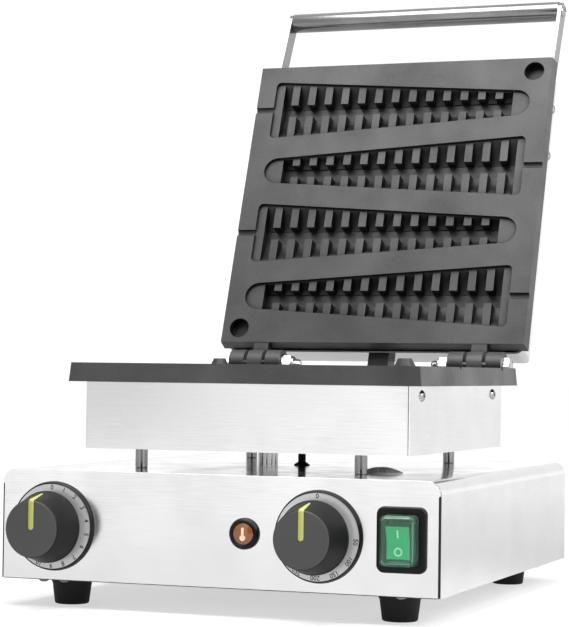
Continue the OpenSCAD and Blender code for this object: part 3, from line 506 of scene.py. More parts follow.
@dataclass
class Shape:
    """Faces gathered from several surfaces, in millimetres.

    Attributes:
        points: Arrays of n by 3.
        faces: Faces numbered over all the points together.
    """

    points: list[Array] = field(default_factory=list)
    faces: list[tuple[int, ...]] = field(default_factory=list)

    def add(self, points: Array, faces: Iterable[Sequence[int]]) -> "Shape":
        """Adds points and their faces.

        Args:
            points: An array of n by 3.
            faces: Faces numbered from 0 in these points.

        Returns:
            The shape itself.
        """
        start = sum(len(p) for p in self.points)
        self.points.append(points)
        self.faces.extend(tuple(i + start for i in f) for f in faces)
        return self

    def skin(self, rings: Array, place: Array | None = None, closed_end: bool = True) -> "Shape":
        """Adds a surface given ring by ring.

        Args:
            rings: An array of k by n by 3.
            place: Where it goes.
            closed_end: True caps both ends.

        Returns:
            The shape itself.
        """
        placed = rings if place is None else moved(rings, place)
        return self.add(placed.reshape(-1, 3), grid_faces(rings.shape[0], rings.shape[1], closed_end))

    def loop(self, rings: Array, place: Array | None = None) -> "Shape":
        """Adds a surface whose last ring joins its first, such as a hollow ring.

        Args:
            rings: An array of k by n by 3.
            place: Where it goes.

        Returns:
            The shape itself.
        """
        joined = np.concatenate([rings, rings[:1]])
        return self.skin(joined, place, closed_end=False)

    def block(self, low: Sequence[float], high: Sequence[float], place: Array | None = None) -> "Shape":
        """Adds a block between two corners.

        Args:
            low: Lowest corner.
            high: Highest corner.
            place: Where it goes.

        Returns:
            The shape itself.
        """
        (x0, y0, z0), (x1, y1, z1) = low, high
        outline = np.array([[x0, y0], [x1, y0], [x1, y1], [x0, y1]])
        return self.skin(stack([outline, outline], [z0, z1]), place)


# ---------------------------------------------------------------- the bench that makes and places pieces

@dataclass
class Bench:
    """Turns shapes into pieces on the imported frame.

    Attributes:
        front_y: The panel frame's Y = 0 in the row frame, in metres.
        pin_y: Hinge pin's Y in millimetres, in the panel frame.
        pin_z: Hinge pin's height in millimetres.
        open_deg: How far the lid stands open.
    """

    front_y: float
    pin_y: float
    pin_z: float
    open_deg: float

    @classmethod
    def from_frame(cls) -> "Bench":
        """Reads the front panel's face and the lid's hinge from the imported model.

        Returns:
            A bench for that model.
        """
        front_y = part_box("front_panel")[0].y
        hinge = next(j for j in frame["joints"] if j["child"] == "lid")
        pin = hinge["pos_m"]
        return cls(front_y, (pin[1] - front_y) / MM, pin[2] / MM, max(hinge["range_deg"]))

    def opened(self) -> Array:
        """Gives the turn about the hinge pin that opens the lid: to the pin, round by open_deg, and back.

        Returns:
            A 4 by 4 matrix in millimetres.
        """
        a = math.radians(self.open_deg)
        c, s = math.cos(a), math.sin(a)
        turn = np.array([[1, 0, 0, 0], [0, c, s, 0], [0, -s, c, 0], [0, 0, 0, 1]], float)
        there = up_place(0, self.pin_y, self.pin_z)
        return there @ turn @ np.linalg.inv(there)

    def to_frame(self, points: Array, lid: bool) -> Array:
        """Turns panel-frame millimetres into row-frame metres.

        Args:
            points: An array of n by 3.
            lid: True for points worked out with the lid shut.

        Returns:
            An array of n by 3 in metres.
        """
        placed = moved(points, self.opened()) if lid else points
        return placed * MM + [0, self.front_y, 0]

    def from_metres(self, points: Array) -> Array:
        """Turns row-frame metres into panel-frame millimetres."""
        return (points - [0, self.front_y, 0]) / MM

    def box(self, node: str) -> tuple[Array, Array]:
        """Gives a CAD node's corners in panel-frame millimetres, as it rests."""
        low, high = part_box(node)
        return self.from_metres(np.array(low)), self.from_metres(np.array(high))

    def middle(self, node: str) -> Array:
        """Gives the middle of a CAD node's box in panel-frame millimetres, as it rests."""
        low, high = self.box(node)
        return (low + high) / 2

    def mesh(self, name: str, shape: Shape, lid: bool) -> bpy.types.Mesh:
        """Builds a closed mesh with faces outwards.

        Args:
            name: The mesh's name.
            shape: What to build.
            lid: True for a shape worked out with the lid shut.

        Returns:
            The mesh.
        """
        mesh = bpy.data.meshes.new(name)
        points = self.to_frame(np.concatenate(shape.points), lid)
        mesh.from_pydata(points.tolist(), [], shape.faces)
        self.tidy(mesh)
        return mesh

    @staticmethod
    def tidy(mesh: bpy.types.Mesh) -> None:
        """Merges doubled points and turns all faces outwards.

        Args:
            mesh: The mesh to change.
        """
        bm = bmesh.new()
        bm.from_mesh(mesh)
        bmesh.ops.remove_doubles(bm, verts=bm.verts, dist=MERGE_M)
        bmesh.ops.dissolve_degenerate(bm, edges=bm.edges, dist=MERGE_M)
        bmesh.ops.recalc_face_normals(bm, faces=bm.faces)
        bm.to_mesh(mesh)
        bm.free()

    def piece(
        self,
        name: str,
        shape: Shape | bpy.types.Mesh,
        finish: Finish,
        slot: str,
        body: str = "base",
        replaces: Sequence[str] = (),
        bevel_mm: float = 0.0,
        smooth_deg: float = 35.0,
        lid: bool = False,
    ) -> bpy.types.Object:
        """Makes a visible piece and hangs it on a body.

        Args:
            name: The piece's name.
            shape: A shape in millimetres, or a finished mesh in metres.
            finish: What it is made of.
            slot: The record's material slot; not used.
            body: The CAD body it rides on.
            replaces: The CAD nodes it stands for.
            bevel_mm: Width of the bevel on its sharp edges, 0 for none.
            smooth_deg: Edges under this angle are shaded smooth.
            lid: True for a shape worked out with the lid shut.

        Returns:
            The object.
        """
        mesh = self.mesh(name, shape, lid) if isinstance(shape, Shape) else shape
        mesh.materials.clear()
        mesh.materials.append(finish.material())
        mesh.polygons.foreach_set("use_smooth", np.ones(len(mesh.polygons), bool))
        mesh.set_sharp_from_angle(angle=math.radians(smooth_deg))
        obj = bpy.data.objects.new(name, mesh)
        bpy.context.scene.collection.objects.link(obj)
        if bevel_mm:
            bevel = obj.modifiers.new("edge", "BEVEL")
            bevel.width = bevel_mm * MM
            bevel.segments = 2
            bevel.limit_method = "ANGLE"
            bevel.angle_limit = math.radians(SHARP_DEG)
            bevel.use_clamp_overlap = True
            bevel.harden_normals = True
        if replaces:
            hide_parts(*replaces)
        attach(obj, body)
        log.info("%s: %d faces", name, len(mesh.polygons))
        return obj

    def cad_mesh(self, node: str) -> bpy.types.Mesh:
        """Copies a CAD node's mesh, merges its loose triangles and joins the flat ones.

        Args:
            node: The CAD node.

        Returns:
            The copy.
        """
        mesh = frame["nodes"][node].data.copy()
        mesh.name = f"{node}_skin"
        bm = bmesh.new()
        bm.from_mesh(mesh)
        bmesh.ops.remove_doubles(bm, verts=bm.verts, dist=CAD_MERGE_M)
        bmesh.ops.dissolve_limit(bm, angle_limit=math.radians(FLAT_DEG), verts=bm.verts, edges=bm.edges)
        bm.to_mesh(mesh)
        bm.free()
        if mesh.has_custom_normals:
            mesh.attributes.remove(mesh.attributes["custom_normal"])
        return mesh

    def shut(self, points: Array) -> Array:
        """Turns row-frame metres of the lid as it rests into panel-frame millimetres with the lid shut."""
        return moved(self.from_metres(points), np.linalg.inv(self.opened()))

    def closed_box(self, node: str) -> tuple[Array, Array]:
        """Gives a lid node's corners in panel-frame millimetres, with the lid shut."""
        points = self.shut(mesh_points(frame["nodes"][node].data))
        return points.min(0), points.max(0)

    def islands(self, node: str, lid: bool = False) -> list[tuple[Array, Array]]:
        """Gives the corners of each separate solid in a node.

        Every point is marked by its number, and each edge gives both its ends the lesser mark, until
        nothing changes. Points of one solid then have one mark.

        Args:
            node: The CAD node.
            lid: True to give them with the lid shut.

        Returns:
            Lowest and highest corner of each, in panel-frame millimetres.
        """
        mesh = self.cad_mesh(node)
        points = self.shut(mesh_points(mesh)) if lid else self.from_metres(mesh_points(mesh))
        edges = np.empty(len(mesh.edges) * 2, int)
        mesh.edges.foreach_get("vertices", edges)
        first, second = edges.reshape(-1, 2).T
        mark = np.arange(len(points))
        while True:
            least = np.minimum(mark[first], mark[second])
            if (mark[first] == least).all() and (mark[second] == least).all():
                break
            np.minimum.at(mark, first, least)
            np.minimum.at(mark, second, least)
        bpy.data.meshes.remove(mesh)
        used = np.unique(edges)
        groups = [points[used][mark[used] == k] for k in np.unique(mark[used])]
        return [(g.min(0), g.max(0)) for g in groups]

    def skin_node(
        self,
        node: str,
        finish: Finish,
        slot: str,
        body: str = "base",
        bevel_mm: float = 0.3,
        change: Callable[[Array], Array] | None = None,
    ) -> bpy.types.Object:
        """Replaces a CAD node by a copy of itself with broken edges.

        Args:
            node: The CAD node.
            finish: What it is made of.
            slot: The record's material slot.
            body: The CAD body it rides on.
            bevel_mm: Width of the broken edge.
            change: Moves the points, in row-frame metres.

        Returns:
            The new piece.
        """
        mesh = self.cad_mesh(node)
        if change:
            mesh.vertices.foreach_set("co", change(mesh_points(mesh)).ravel())
        return self.piece(f"{node}_skin", mesh, finish, slot, body, [node], bevel_mm)

    def dress(self, nodes: Sequence[str], finish: Finish) -> None:
        """Gives CAD nodes that stay as they are a better material.

        Args:
            nodes: The CAD nodes.
            finish: What they are made of.
        """
        for node in nodes:
            materials = frame["nodes"][node].data.materials
            materials.clear()
            materials.append(finish.material())


# ---------------------------------------------------------------- parts that repeat

def hexagon(corner_d: float, cap: float = math.inf, count: int = 96) -> Array:
    """Hexagon with a corner on the first axis, cut by a circle.

    The radius at angle a is flats / 2 / cos(a mod 60 - 30), and never more than cap.

    Args:
        corner_d: Size across the corners.
        cap: Radius of the cutting circle.
        count: Points round it.

    Returns:
        An array of count by 2.
    """
    angle = np.arange(count) * 2 * np.pi / count
    flat = corner_d * math.sqrt(3) / 4
    return circle(np.minimum(flat / np.cos(angle % (np.pi / 3) - np.pi / 6), cap), count)


def hex_rings(corner_d: float, base: float, top: float, bore: float = 0.0) -> Array:
    """Hexagon nut or head whose outer corners are turned off.

    The hexagon is cut by a circle at each height. The circle's radius falls evenly from the corners' at
    the turning's foot to a little under the flats' at the top, and is a little over the flats' at the base.

    Args:
        corner_d: Size across the corners.
        base: Height of its lower face.
        top: Height of its upper face.
        bore: Radius of its hole, 0 for none.

    Returns:
        Rings for skin, or for loop if there is a bore.
    """
    flat = corner_d * math.sqrt(3) / 4
    corner = corner_d / 2
    turned = (corner - flat) * 0.6
    outlines = [hexagon(corner_d, flat * 1.02), hexagon(corner_d)]
    heights = [base, base + turned * 0.2]
    for s in np.linspace(0, 1, 5):
        outlines.append(hexagon(corner_d, corner + (flat * 0.97 - corner) * s))
        heights.append(top - turned * (1 - s))
    if bore:
        flare, count = 0.3, len(outlines[0])
        outlines += [circle(bore + flare, count), circle(bore, count), circle(bore, count)]
        heights += [top, top - flare, base]
    return stack(outlines, heights)


def dome_height(radius: Array, head_d: float, head_h: float) -> Array:
    """Height of a low spherical cap: sqrt(R^2 - r^2) - (R - h), with R = (d^2 / 4 + h^2) / 2h."""
    big = (head_d**2 / 4 + head_h**2) / (2 * head_h)
    return np.sqrt(np.maximum(big**2 - radius**2, 0)) - (big - head_h)


@dataclass(frozen=True)
class Screw:
    """A domed machine screw with a cross recess.

    Attributes:
        head_d: Head diameter.
        head_h: Head height.
        shank_d: Shank diameter.
        shank_l: Shank length below the head.
        cross: Length and width of the recess's bars as shares of the head's diameter, and its depth as
            a share of the head's height.
        wall: Distance over which the recess sinks to its depth.
        rings: Rings over the head.
        around: Points in each ring.
    """

    head_d: float
    head_h: float
    shank_d: float
    shank_l: float
    cross: tuple[float, float, float] = (0.56, 0.15, 0.6)
    wall: float = 0.25
    rings: int = 30
    around: int = 72

    def put(self, shape: Shape, place: Array) -> None:
        """Adds the screw, its head's underside at the place and its head along the third axis.

        The cap's height is lowered by the recess, depth times -d / wall held between 0 and 1, where d is
        the distance to a cross made of two bars, and is negative inside it.

        Args:
            shape: The shape to add to.
            place: Where it goes.
        """
        radius = np.linspace(0.02, 1, self.rings) * self.head_d / 2
        flat = np.stack([circle(r, self.around) for r in radius])
        x, y = np.abs(flat[..., 0]), np.abs(flat[..., 1])
        long, wide, depth = self.cross
        arm, half = long * self.head_d / 2, wide * self.head_d / 2
        outside = np.minimum(np.maximum(x - half, y - arm), np.maximum(y - half, x - arm))
        sunk = np.clip(-outside / self.wall, 0, 1) * self.head_h * depth
        height = np.maximum(dome_height(radius, self.head_d, self.head_h), 0)[:, None] - sunk
        head = np.concatenate([flat, height[..., None]], -1)
        shank = self.shank_d / 2
        under = revolve([(self.head_d / 2, 0.0), (shank, 0.0), (shank, -self.shank_l)], self.around)
        shape.skin(np.concatenate([head, under]), place)


def glyphs(text: str, size: float, thick: float) -> tuple[Array, list[tuple[int, ...]]]:
    """Makes plain raised characters, centred on the origin.

    Args:
        text: Characters to draw.
        size: Size of the face.
        thick: Height of the raised ink.

    Returns:
        Points and faces.
    """
    curve = bpy.data.curves.new("characters", "FONT")
    curve.body = text
    curve.size = size
    curve.align_x = "CENTER"
    curve.align_y = "CENTER"
    curve.extrude = thick / 2
    curve.offset = 0.012 * size
    curve.resolution_u = 3
    carrier = bpy.data.objects.new("characters", curve)
    bpy.context.scene.collection.objects.link(carrier)
    mesh = carrier.to_mesh()
    points = mesh_points(mesh)
    faces = [tuple(p.vertices) for p in mesh.polygons]
    carrier.to_mesh_clear()
    bpy.data.objects.remove(carrier)
    bpy.data.curves.remove(curve)
    return points, faces


# ---------------------------------------------------------------- sub-assemblies

class PlateSide(Enum):
    """The two mould plates: CAD node and the body it belongs to."""

    LOWER = ("lower_plate", "base")
    UPPER = ("upper_plate", "lid")


@dataclass
class MouldPlates:
    """The two cast plates with their moulds, and what heats them.

    Attributes:
        edge_mm: Broken edge of the casting.
    """

    bench: Bench
    edge_mm: float = 0.7

    def build(self) -> None:
        """Makes both plates from their solids, with broken edges, and dresses the parts behind them."""
        for side in PlateSide:
            node, body = side.value
            self.bench.skin_node(node, NON_STICK, "coated_aluminium", body, self.edge_mm)
        self.bench.dress(["lower_element", "upper_element"], ANNEALED)
        self.bench.dress(["lower_clamp_plate", "upper_clamp_plate"], GROUND_STAINLESS)
        self.bench.dress(["lower_clamp_nuts", "upper_clamp_nuts"], ZINC_PLATE)
        self.bench.dress(["lower_insulation", "lid_insulation"], FIBRE_BOARD)


@dataclass
class Housing:
    """The sheet steel base: wrapped shell, front, rear and bottom panels, with its glands.

    Attributes:
        seam_mm: Gap between the front panel and the wrapped shell.
        sheet_mm: Sheet thickness.
        edge_mm: Broken edge of cut sheet.
        panel_edge_mm: Rounded edge of the front panel.
        arc_mm: How far down the front panel's corner arcs reach.
        step_mm: Height over which its sides draw in below them.
        seal_mm: Width of the black strip of painted shade that shows at the panel's sides.
        foot_gap_mm: Height of the black strip of painted shade that shows under the panel.
        screw: The screws in the bottom plate.
        gland_hex: Gland size across its corners.
        gland_bore: Radius of the gland's bore.
        gland_thread: Root radius, depth and pitch of its thread.
        flutes: Grip flutes round a gland's dome nut.
        flute_mm: Their depth.
    """

    bench: Bench
    seam_mm: float = 0.9
    sheet_mm: float = 1.2
    edge_mm: float = 0.35
    panel_edge_mm: float = 0.6
    arc_mm: float = 9.0
    step_mm: float = 0.8
    seal_mm: float = 1.2
    foot_gap_mm: float = 0.6
    screw: Screw = Screw(8, 2.2, 4, 8)
    gland_hex: float = 24.0
    gland_bore: float = 4.0
    gland_thread: tuple[float, float, float] = (7.6, 0.4, 1.0)
    flutes: int = 18
    flute_mm: float = 0.45

    def shell(self) -> None:
        """Makes the wrapped shell, cut back from the front panel by the seam."""
        self.bench.skin_node(
            "base_shell", GROUND_STAINLESS, "stainless_steel", bevel_mm=self.edge_mm, change=self.cut_back
        )

    def cut_back(self, points: Array) -> Array:
        """Moves the shell's front rim back by the seam: y becomes y + seam where y is at the rim.

        Args:
            points: The shell's points in row-frame metres.

        Returns:
            The moved points.
        """
        edge = self.bench.front_y + (self.sheet_mm + 0.2) * MM
        at_rim = points[:, 1] < edge
        return points + np.outer(at_rim * self.seam_mm * MM, [0, 1, 0])

    def front(self) -> None:
        """Makes the front panel, drawn in from the shell below its corner arcs, and a black strip in that gap that
        paints the seam's shadow.

        The panel is cut level where the arcs end and step_mm below that. From the lower cut down, each
        side moves in by seal_mm. The foot's edge moves up by foot_gap_mm.
        """
        bench = self.bench
        low, high = bench.box("front_panel")
        start = high[2] - self.arc_mm
        mesh = bench.cad_mesh("front_panel")
        bm = bmesh.new()
        bm.from_mesh(mesh)
        for height in (start, start - self.step_mm):
            parts = bm.verts[:] + bm.edges[:] + bm.faces[:]
            bmesh.ops.bisect_plane(bm, geom=parts, dist=MERGE_M, plane_co=(0, 0, height * MM), plane_no=(0, 0, 1))
        bm.to_mesh(mesh)
        bm.free()
        points = mesh_points(mesh)
        x, z = points[:, 0] / MM, points[:, 2] / MM
        at_side = (np.abs(x) > high[0] - 0.5) & (z < start - self.step_mm / 2)
        at_foot = z < low[2] + 0.2
        points[:, 0] -= at_side * np.copysign(self.seal_mm * MM, x)
        points[:, 2] += at_foot * self.foot_gap_mm * MM
        mesh.vertices.foreach_set("co", points.ravel())
        mesh.update()
        bench.piece(
            "front_panel_skin",
            mesh,
            GROUND_STAINLESS,
            "stainless_steel",
            replaces=["front_panel"],
            bevel_mm=self.panel_edge_mm,
        )
        # Black strips at the panel's sides and under its foot: painted shade standing in for the shadow in the seam.
        shade_strip = Shape()
        face, back = 0.45, self.sheet_mm + 0.4
        for side in (-1, 1):
            x0, x1 = sorted((side * (high[0] - self.seal_mm - 0.6), side * (high[0] - 0.08)))
            shade_strip.block((x0, face, low[2] + 0.4), (x1, back, start - 0.5))
        shade_strip.block((low[0] + 1.6, face, low[2] + 0.1), (high[0] - 1.6, self.sheet_mm - 0.05, low[2] + 0.9))
        bench.piece("front_panel_seal", shade_strip, BLACK_RUBBER, "black_rubber", bevel_mm=0.12)

    def gland(self, node: str) -> None:
        """Makes a cable gland: threaded body, lock nut, hexagon and fluted dome nut.

        A flute takes flute_mm * (1 - cos(flutes * a)) / 2 off the dome nut's radius at angle a.

        Args:
            node: The CAD node that it replaces.
        """
        x, _, z = self.bench.middle(node)
        place = back_place(x, self.bench.box("rear_panel")[1][1], z)
        bore, end, inside = self.gland_bore, -9.2, -self.sheet_mm
        root, depth, pitch = self.gland_thread
        thread = [(root + depth * (k % 2), end + k * pitch / 2) for k in range(17)]
        shape = Shape().loop(revolve([(bore, end)] + thread + [(bore, inside)]), place)
        shape.loop(hex_rings(self.gland_hex, 0, 4, bore), place)
        shape.loop(hex_rings(self.gland_hex, inside - 5, inside, bore + 4), place)
        count = 96
        turn = np.arange(count) * 2 * np.pi / count
        flute = self.flute_mm * (0.5 - 0.5 * np.cos(self.flutes * turn))
        outline = [(9.5, 4.0, 0), (9.5, 4.5, 1), (9.0, 9.5, 1), (8.6, 11.0, 1), (7.9, 13.0, 0.3), (7.0, 14.0, 0)]
        rings = [circle(r - share * flute, count) for r, _, share in outline]
        rings += [circle(bore + 0.6, count), circle(bore, count), circle(bore, count)]
        shape.loop(stack(rings, [h for _, h, _ in outline] + [14.0, 13.2, 4.0]), place)
        self.bench.piece(f"{node}_fluted", shape, BLACK_NYLON, "black_plastic", replaces=[node])

    def build(self) -> None:
        """Makes the four sheets, the screws below and the glands behind."""
        self.shell()
        self.front()
        self.bench.skin_node("rear_panel", GROUND_STAINLESS, "stainless_steel", bevel_mm=self.edge_mm)
        self.bench.skin_node("bottom_plate", GROUND_STAINLESS, "stainless_steel", bevel_mm=self.edge_mm)
        screws = Shape()
        base = self.bench.box("bottom_plate")[0][2]
        for low, high in self.bench.islands("bottom_screws"):
            x, y, _ = (low + high) / 2
            self.screw.put(screws, down_place(x, y, base))
        self.bench.piece("bottom_screws_cross", screws, ZINC_PLATE, "zinc_plated_steel", replaces=["bottom_screws"])
        for node in ("mains_gland", "lid_lead_gland"):
            self.gland(node)
        self.bench.dress(["terminal_block"], PORCELAIN)


@dataclass
class Feet:
    """Tapered rubber feet with a rounded tread and a band at the top.

    Attributes:
        tread_r: Radius at the floor.
        top_r: Radius at the base.
        bore_r: Radius of the screw hole.
        sink_r: Radius of the hole that takes the screw's head.
        sink_z: Height of that hole.
    """

    bench: Bench
    tread_r: float = 11.5
    top_r: float = 14.0
    bore_r: float = 2.5
    sink_r: float = 5.5
    sink_z: float = 5.0

    def build(self) -> None:
        """Makes the four feet."""
        top = self.bench.box("bottom_plate")[0][2]
        profile = [(self.bore_r, self.sink_z), (self.sink_r, self.sink_z), (self.sink_r, 0.5), (self.sink_r + 0.5, 0)]
        profile += fillet((self.tread_r - 1.5, 1.5), 1.5, -90, -5)
        profile += [(self.top_r - 0.9, top - 4.2), (self.top_r - 0.35, top - 3.6)]
        profile += fillet((self.top_r - 0.6, top - 0.6), 0.6, 0, 90, 3) + [(self.bore_r, top)]
        shape = Shape()
        for low, high in self.bench.islands("rubber_feet"):
            x, y, _ = (low + high) / 2
            shape.loop(revolve(profile), up_place(x, y, 0))
        self.bench.piece("feet_tapered", shape, BLACK_RUBBER, "black_rubber", replaces=["rubber_feet"])
        self.bench.dress(["foot_screws"], ZINC_PLATE)


@dataclass
class Dial:
    """A rotary control: black bezel, silver scale, knob and its raised pointer.

    Attributes:
        name: Start of the CAD nodes' names, which is also that of its body.
        labels: Angle clockwise from the top, in degrees, to its label.
        rim_r: Outside radius of the bezel at the panel and at its front.
        rim_w: Width of the rim round the scale.
        rim_h: How far the bezel's rim stands in front of the panel.
        bezel_bore: Radius of the hole in the bezel's floor.
        floor_h: Where the scale lies.
        scale_r: Inside radius of the scale.
        scale_t: Thickness of the scale.
        label_r: Radius of the labels' middles.
        label_size: Size of the labels.
        ink_t: Thickness of the print.
        hub_r: Radius of the hub behind the knob.
        skirt: Radius, back and height of the knob's skirt.
        grip: Radius of the grip at the skirt and at the face.
        face_h: How far the knob reaches.
        face_r: Rounding of the face's edge.
        shaft: Radius of the shaft, and how far it reaches.
        pointer: Width, thickness and back end of the pointer.
    """

    bench: Bench
    name: str
    labels: dict[float, str]
    rim_r: tuple[float, float] = (29.2, 28.3)
    rim_w: float = 0.6
    rim_h: float = 3.9
    bezel_bore: float = 4.8
    floor_h: float = 3.1
    scale_r: float = 19.0
    scale_t: float = 0.5
    label_r: float = 25.4
    label_size: float = 4.2
    ink_t: float = 0.06
    hub_r: float = 17.0
    skirt: tuple[float, float, float] = (23.3, 9.2, 2.4)
    grip: tuple[float, float] = (22.7, 18.7)
    face_h: float = 33.0
    face_r: float = 1.8
    shaft: tuple[float, float] = (3.0, 24.0)
    pointer: tuple[float, float, float] = (3.5, 0.5, 17.5)

    def centre(self) -> Array:
        """Gives the placement on the shaft's line, third axis out of the panel."""
        x, _, z = self.bench.middle(f"{self.name}_bezel")
        return front_place(x, z)

    def bezel(self, place: Array) -> None:
        """Makes the bezel: a tapered dish with a thin rounded rim.

        Args:
            place: The dial's placement.
        """
        back, front = self.rim_r
        inner, rounding = front - self.rim_w, self.rim_w / 2
        profile = [(self.bezel_bore, 0), (back - rounding, 0), (back, rounding)]
        profile += fillet((front - rounding, self.rim_h - rounding), rounding, 15, 165, 8)
        profile += [(inner, self.floor_h), (self.bezel_bore, self.floor_h)]
        shape = Shape().loop(revolve(profile, 128), place)
        self.bench.piece(
            f"{self.name}_bezel_dish", shape, BLACK_NYLON, "black_plastic", replaces=[f"{self.name}_bezel"]
        )

    def scale(self, place: Array) -> None:
        """Makes the scale and the print on it.

        Args:
            place: The dial's placement.
        """
        low, top, edge = self.floor_h, self.floor_h + self.scale_t, 0.12
        inner, outer = self.scale_r, self.rim_r[1] - self.rim_w - 0.1
        profile = [(inner, low), (outer, low), (outer, top - edge), (outer - edge, top)]
        profile += [(inner + edge, top), (inner, top - edge)]
        shape = Shape().loop(revolve(profile, 128), place)
        node = f"{self.name}_scale_ring"
        self.bench.piece(f"{node}_plate", shape, ANODISED, "silver_scale", replaces=[node])
        ink = Shape()
        for degrees, label in self.labels.items():
            points, faces = glyphs(label, self.label_size, self.ink_t)
            ink.add(moved(points, place @ self.turned(degrees, self.label_r, top + self.ink_t / 2)), faces)
        self.bench.piece(f"{self.name}_scale_print", ink, PRINT_INK, "black_plastic")

    @staticmethod
    def turned(degrees: float, radius: float, height: float) -> Array:
        """Placement at an angle clockwise from the top, its second axis outwards.

        Args:
            degrees: The angle.
            radius: Distance from the centre.
            height: Height along the shaft.

        Returns:
            A 4 by 4 matrix.
        """
        a = math.radians(degrees)
        c, s = math.cos(a), math.sin(a)
        return np.array([[c, s, 0, radius * s], [-s, c, 0, radius * c], [0, 0, 1, height], [0, 0, 0, 1]])

    def side_slope(self) -> float:
        """Gives the grip's fall in radius for each millimetre of height: its two radii's difference over its run."""
        run = self.face_h - self.face_r - self.skirt[1] - self.skirt[2]
        return (self.grip[0] - self.grip[1]) / run

    def knob(self, place: Array) -> None:
        """Makes the knob: hub, rolled skirt and tapered grip, and its face with the rounded edge.

        Args:
            place: The dial's placement.
        """
        radius, back, thick = self.skirt
        hub = self.rim_h + 0.6
        profile = [(self.shaft[0], hub), (self.hub_r, hub), (self.hub_r, back)]
        profile += fillet((radius - 0.8, back + 0.8), 0.8, -90, 0, 4)
        profile += fillet((radius - 0.5, back + thick - 0.3), 0.5, 0, 60, 3)
        profile += [(self.grip[0] + 0.1, back + thick + 0.3), (self.grip[0] - 0.15, back + thick + 1.0)]
        inside = self.grip[1] - self.face_r
        edge = fillet((inside, self.face_h - self.face_r), self.face_r, 8, 90, 12)
        split = len(edge) // 2
        seat = edge[split][1]
        profile += edge[: split + 1] + [(inside, seat), (0, seat), (0, self.shaft[1]), self.shaft]
        node = f"{self.name}_knob"
        body = f"{self.name}_dial"
        slot = "dark_grey_plastic"
        shape = Shape().loop(revolve(profile, 128), place)
        # Grip and face are one plastic: the grip's darker colour is painted shade and the face's lighter colour is
        # painted light.
        self.bench.piece(f"{node}_grip", shape, PHENOLIC_PAINTED_SHADE, slot, body, [node], smooth_deg=28)
        face = [(0, seat)] + edge[split:] + [(12.0, self.face_h), (0, self.face_h)]
        shape = Shape().skin(revolve(face, 128), place)
        self.bench.piece(f"{node}_face", shape, PHENOLIC_PAINTED_LIGHT, slot, body, smooth_deg=28)

    def line(self, place: Array) -> None:
        """Makes the pointer: a bar that starts round on the face, bends over its edge and tapers down the side.

        The bar follows a path of radius and height: level over the face, round its edge as a circle's
        arc, then straight down the side. Each ring is its section, laid along the path's outward
        direction. Half its width, w, is sqrt(W^2 - (W - s)^2) at the round start, with W half the
        pointer's width, then W, and falls evenly down the side.

        Args:
            place: The dial's placement.
        """
        width, thick, back = self.pointer
        half, start, along, down = width / 2, 9, 9, 8
        level = np.concatenate([half * (1 - np.cos(np.linspace(0.05, np.pi / 2, start))), [6, 12]])
        over = np.stack([level - 0.5, np.full(len(level), self.face_h)], -1)
        angle = np.radians(np.linspace(90, 8, along))
        bend = np.stack([np.cos(angle), np.sin(angle)], -1)
        edge = bend * self.face_r + [self.grip[1] - self.face_r, self.face_h - self.face_r]
        fall = (edge[-1, 1] - back) * np.linspace(0.15, 1, down)
        side = edge[-1] + np.stack([self.side_slope() * fall, -fall], -1)
        path = np.concatenate([over, edge, side])
        way = np.concatenate([np.tile([0.0, 1.0], (len(level), 1)), bend, np.tile(bend[-1], (down, 1))])
        wide = np.full(len(path), half)
        wide[:start] = np.sqrt(np.maximum(half**2 - (half - level[:start]) ** 2, 0.01))
        wide[-down:] = half * np.linspace(0.95, 0.3, down)
        across = wide[:, None] * [-1, 1, 1, 0.8, -0.8, -1]
        up = np.array([-0.3, -0.3, thick * 0.55, thick, thick, thick * 0.55])
        section = path[:, None, :] + way[:, None, :] * up[None, :, None]
        shape = Shape().skin(np.concatenate([across[..., None], section], -1), place)
        node = f"{self.name}_pointer"
        self.bench.piece(f"{node}_bar", shape, LIME_ABS, "yellow_green_plastic", f"{self.name}_dial", [node])

    def build(self) -> None:
        """Makes the whole dial."""
        place = self.centre()
        self.bezel(place)
        self.scale(place)
        self.knob(place)
        self.line(place)
        self.bench.dress([f"{self.name}_body", f"{self.name}_shaft"], ZINC_PLATE)


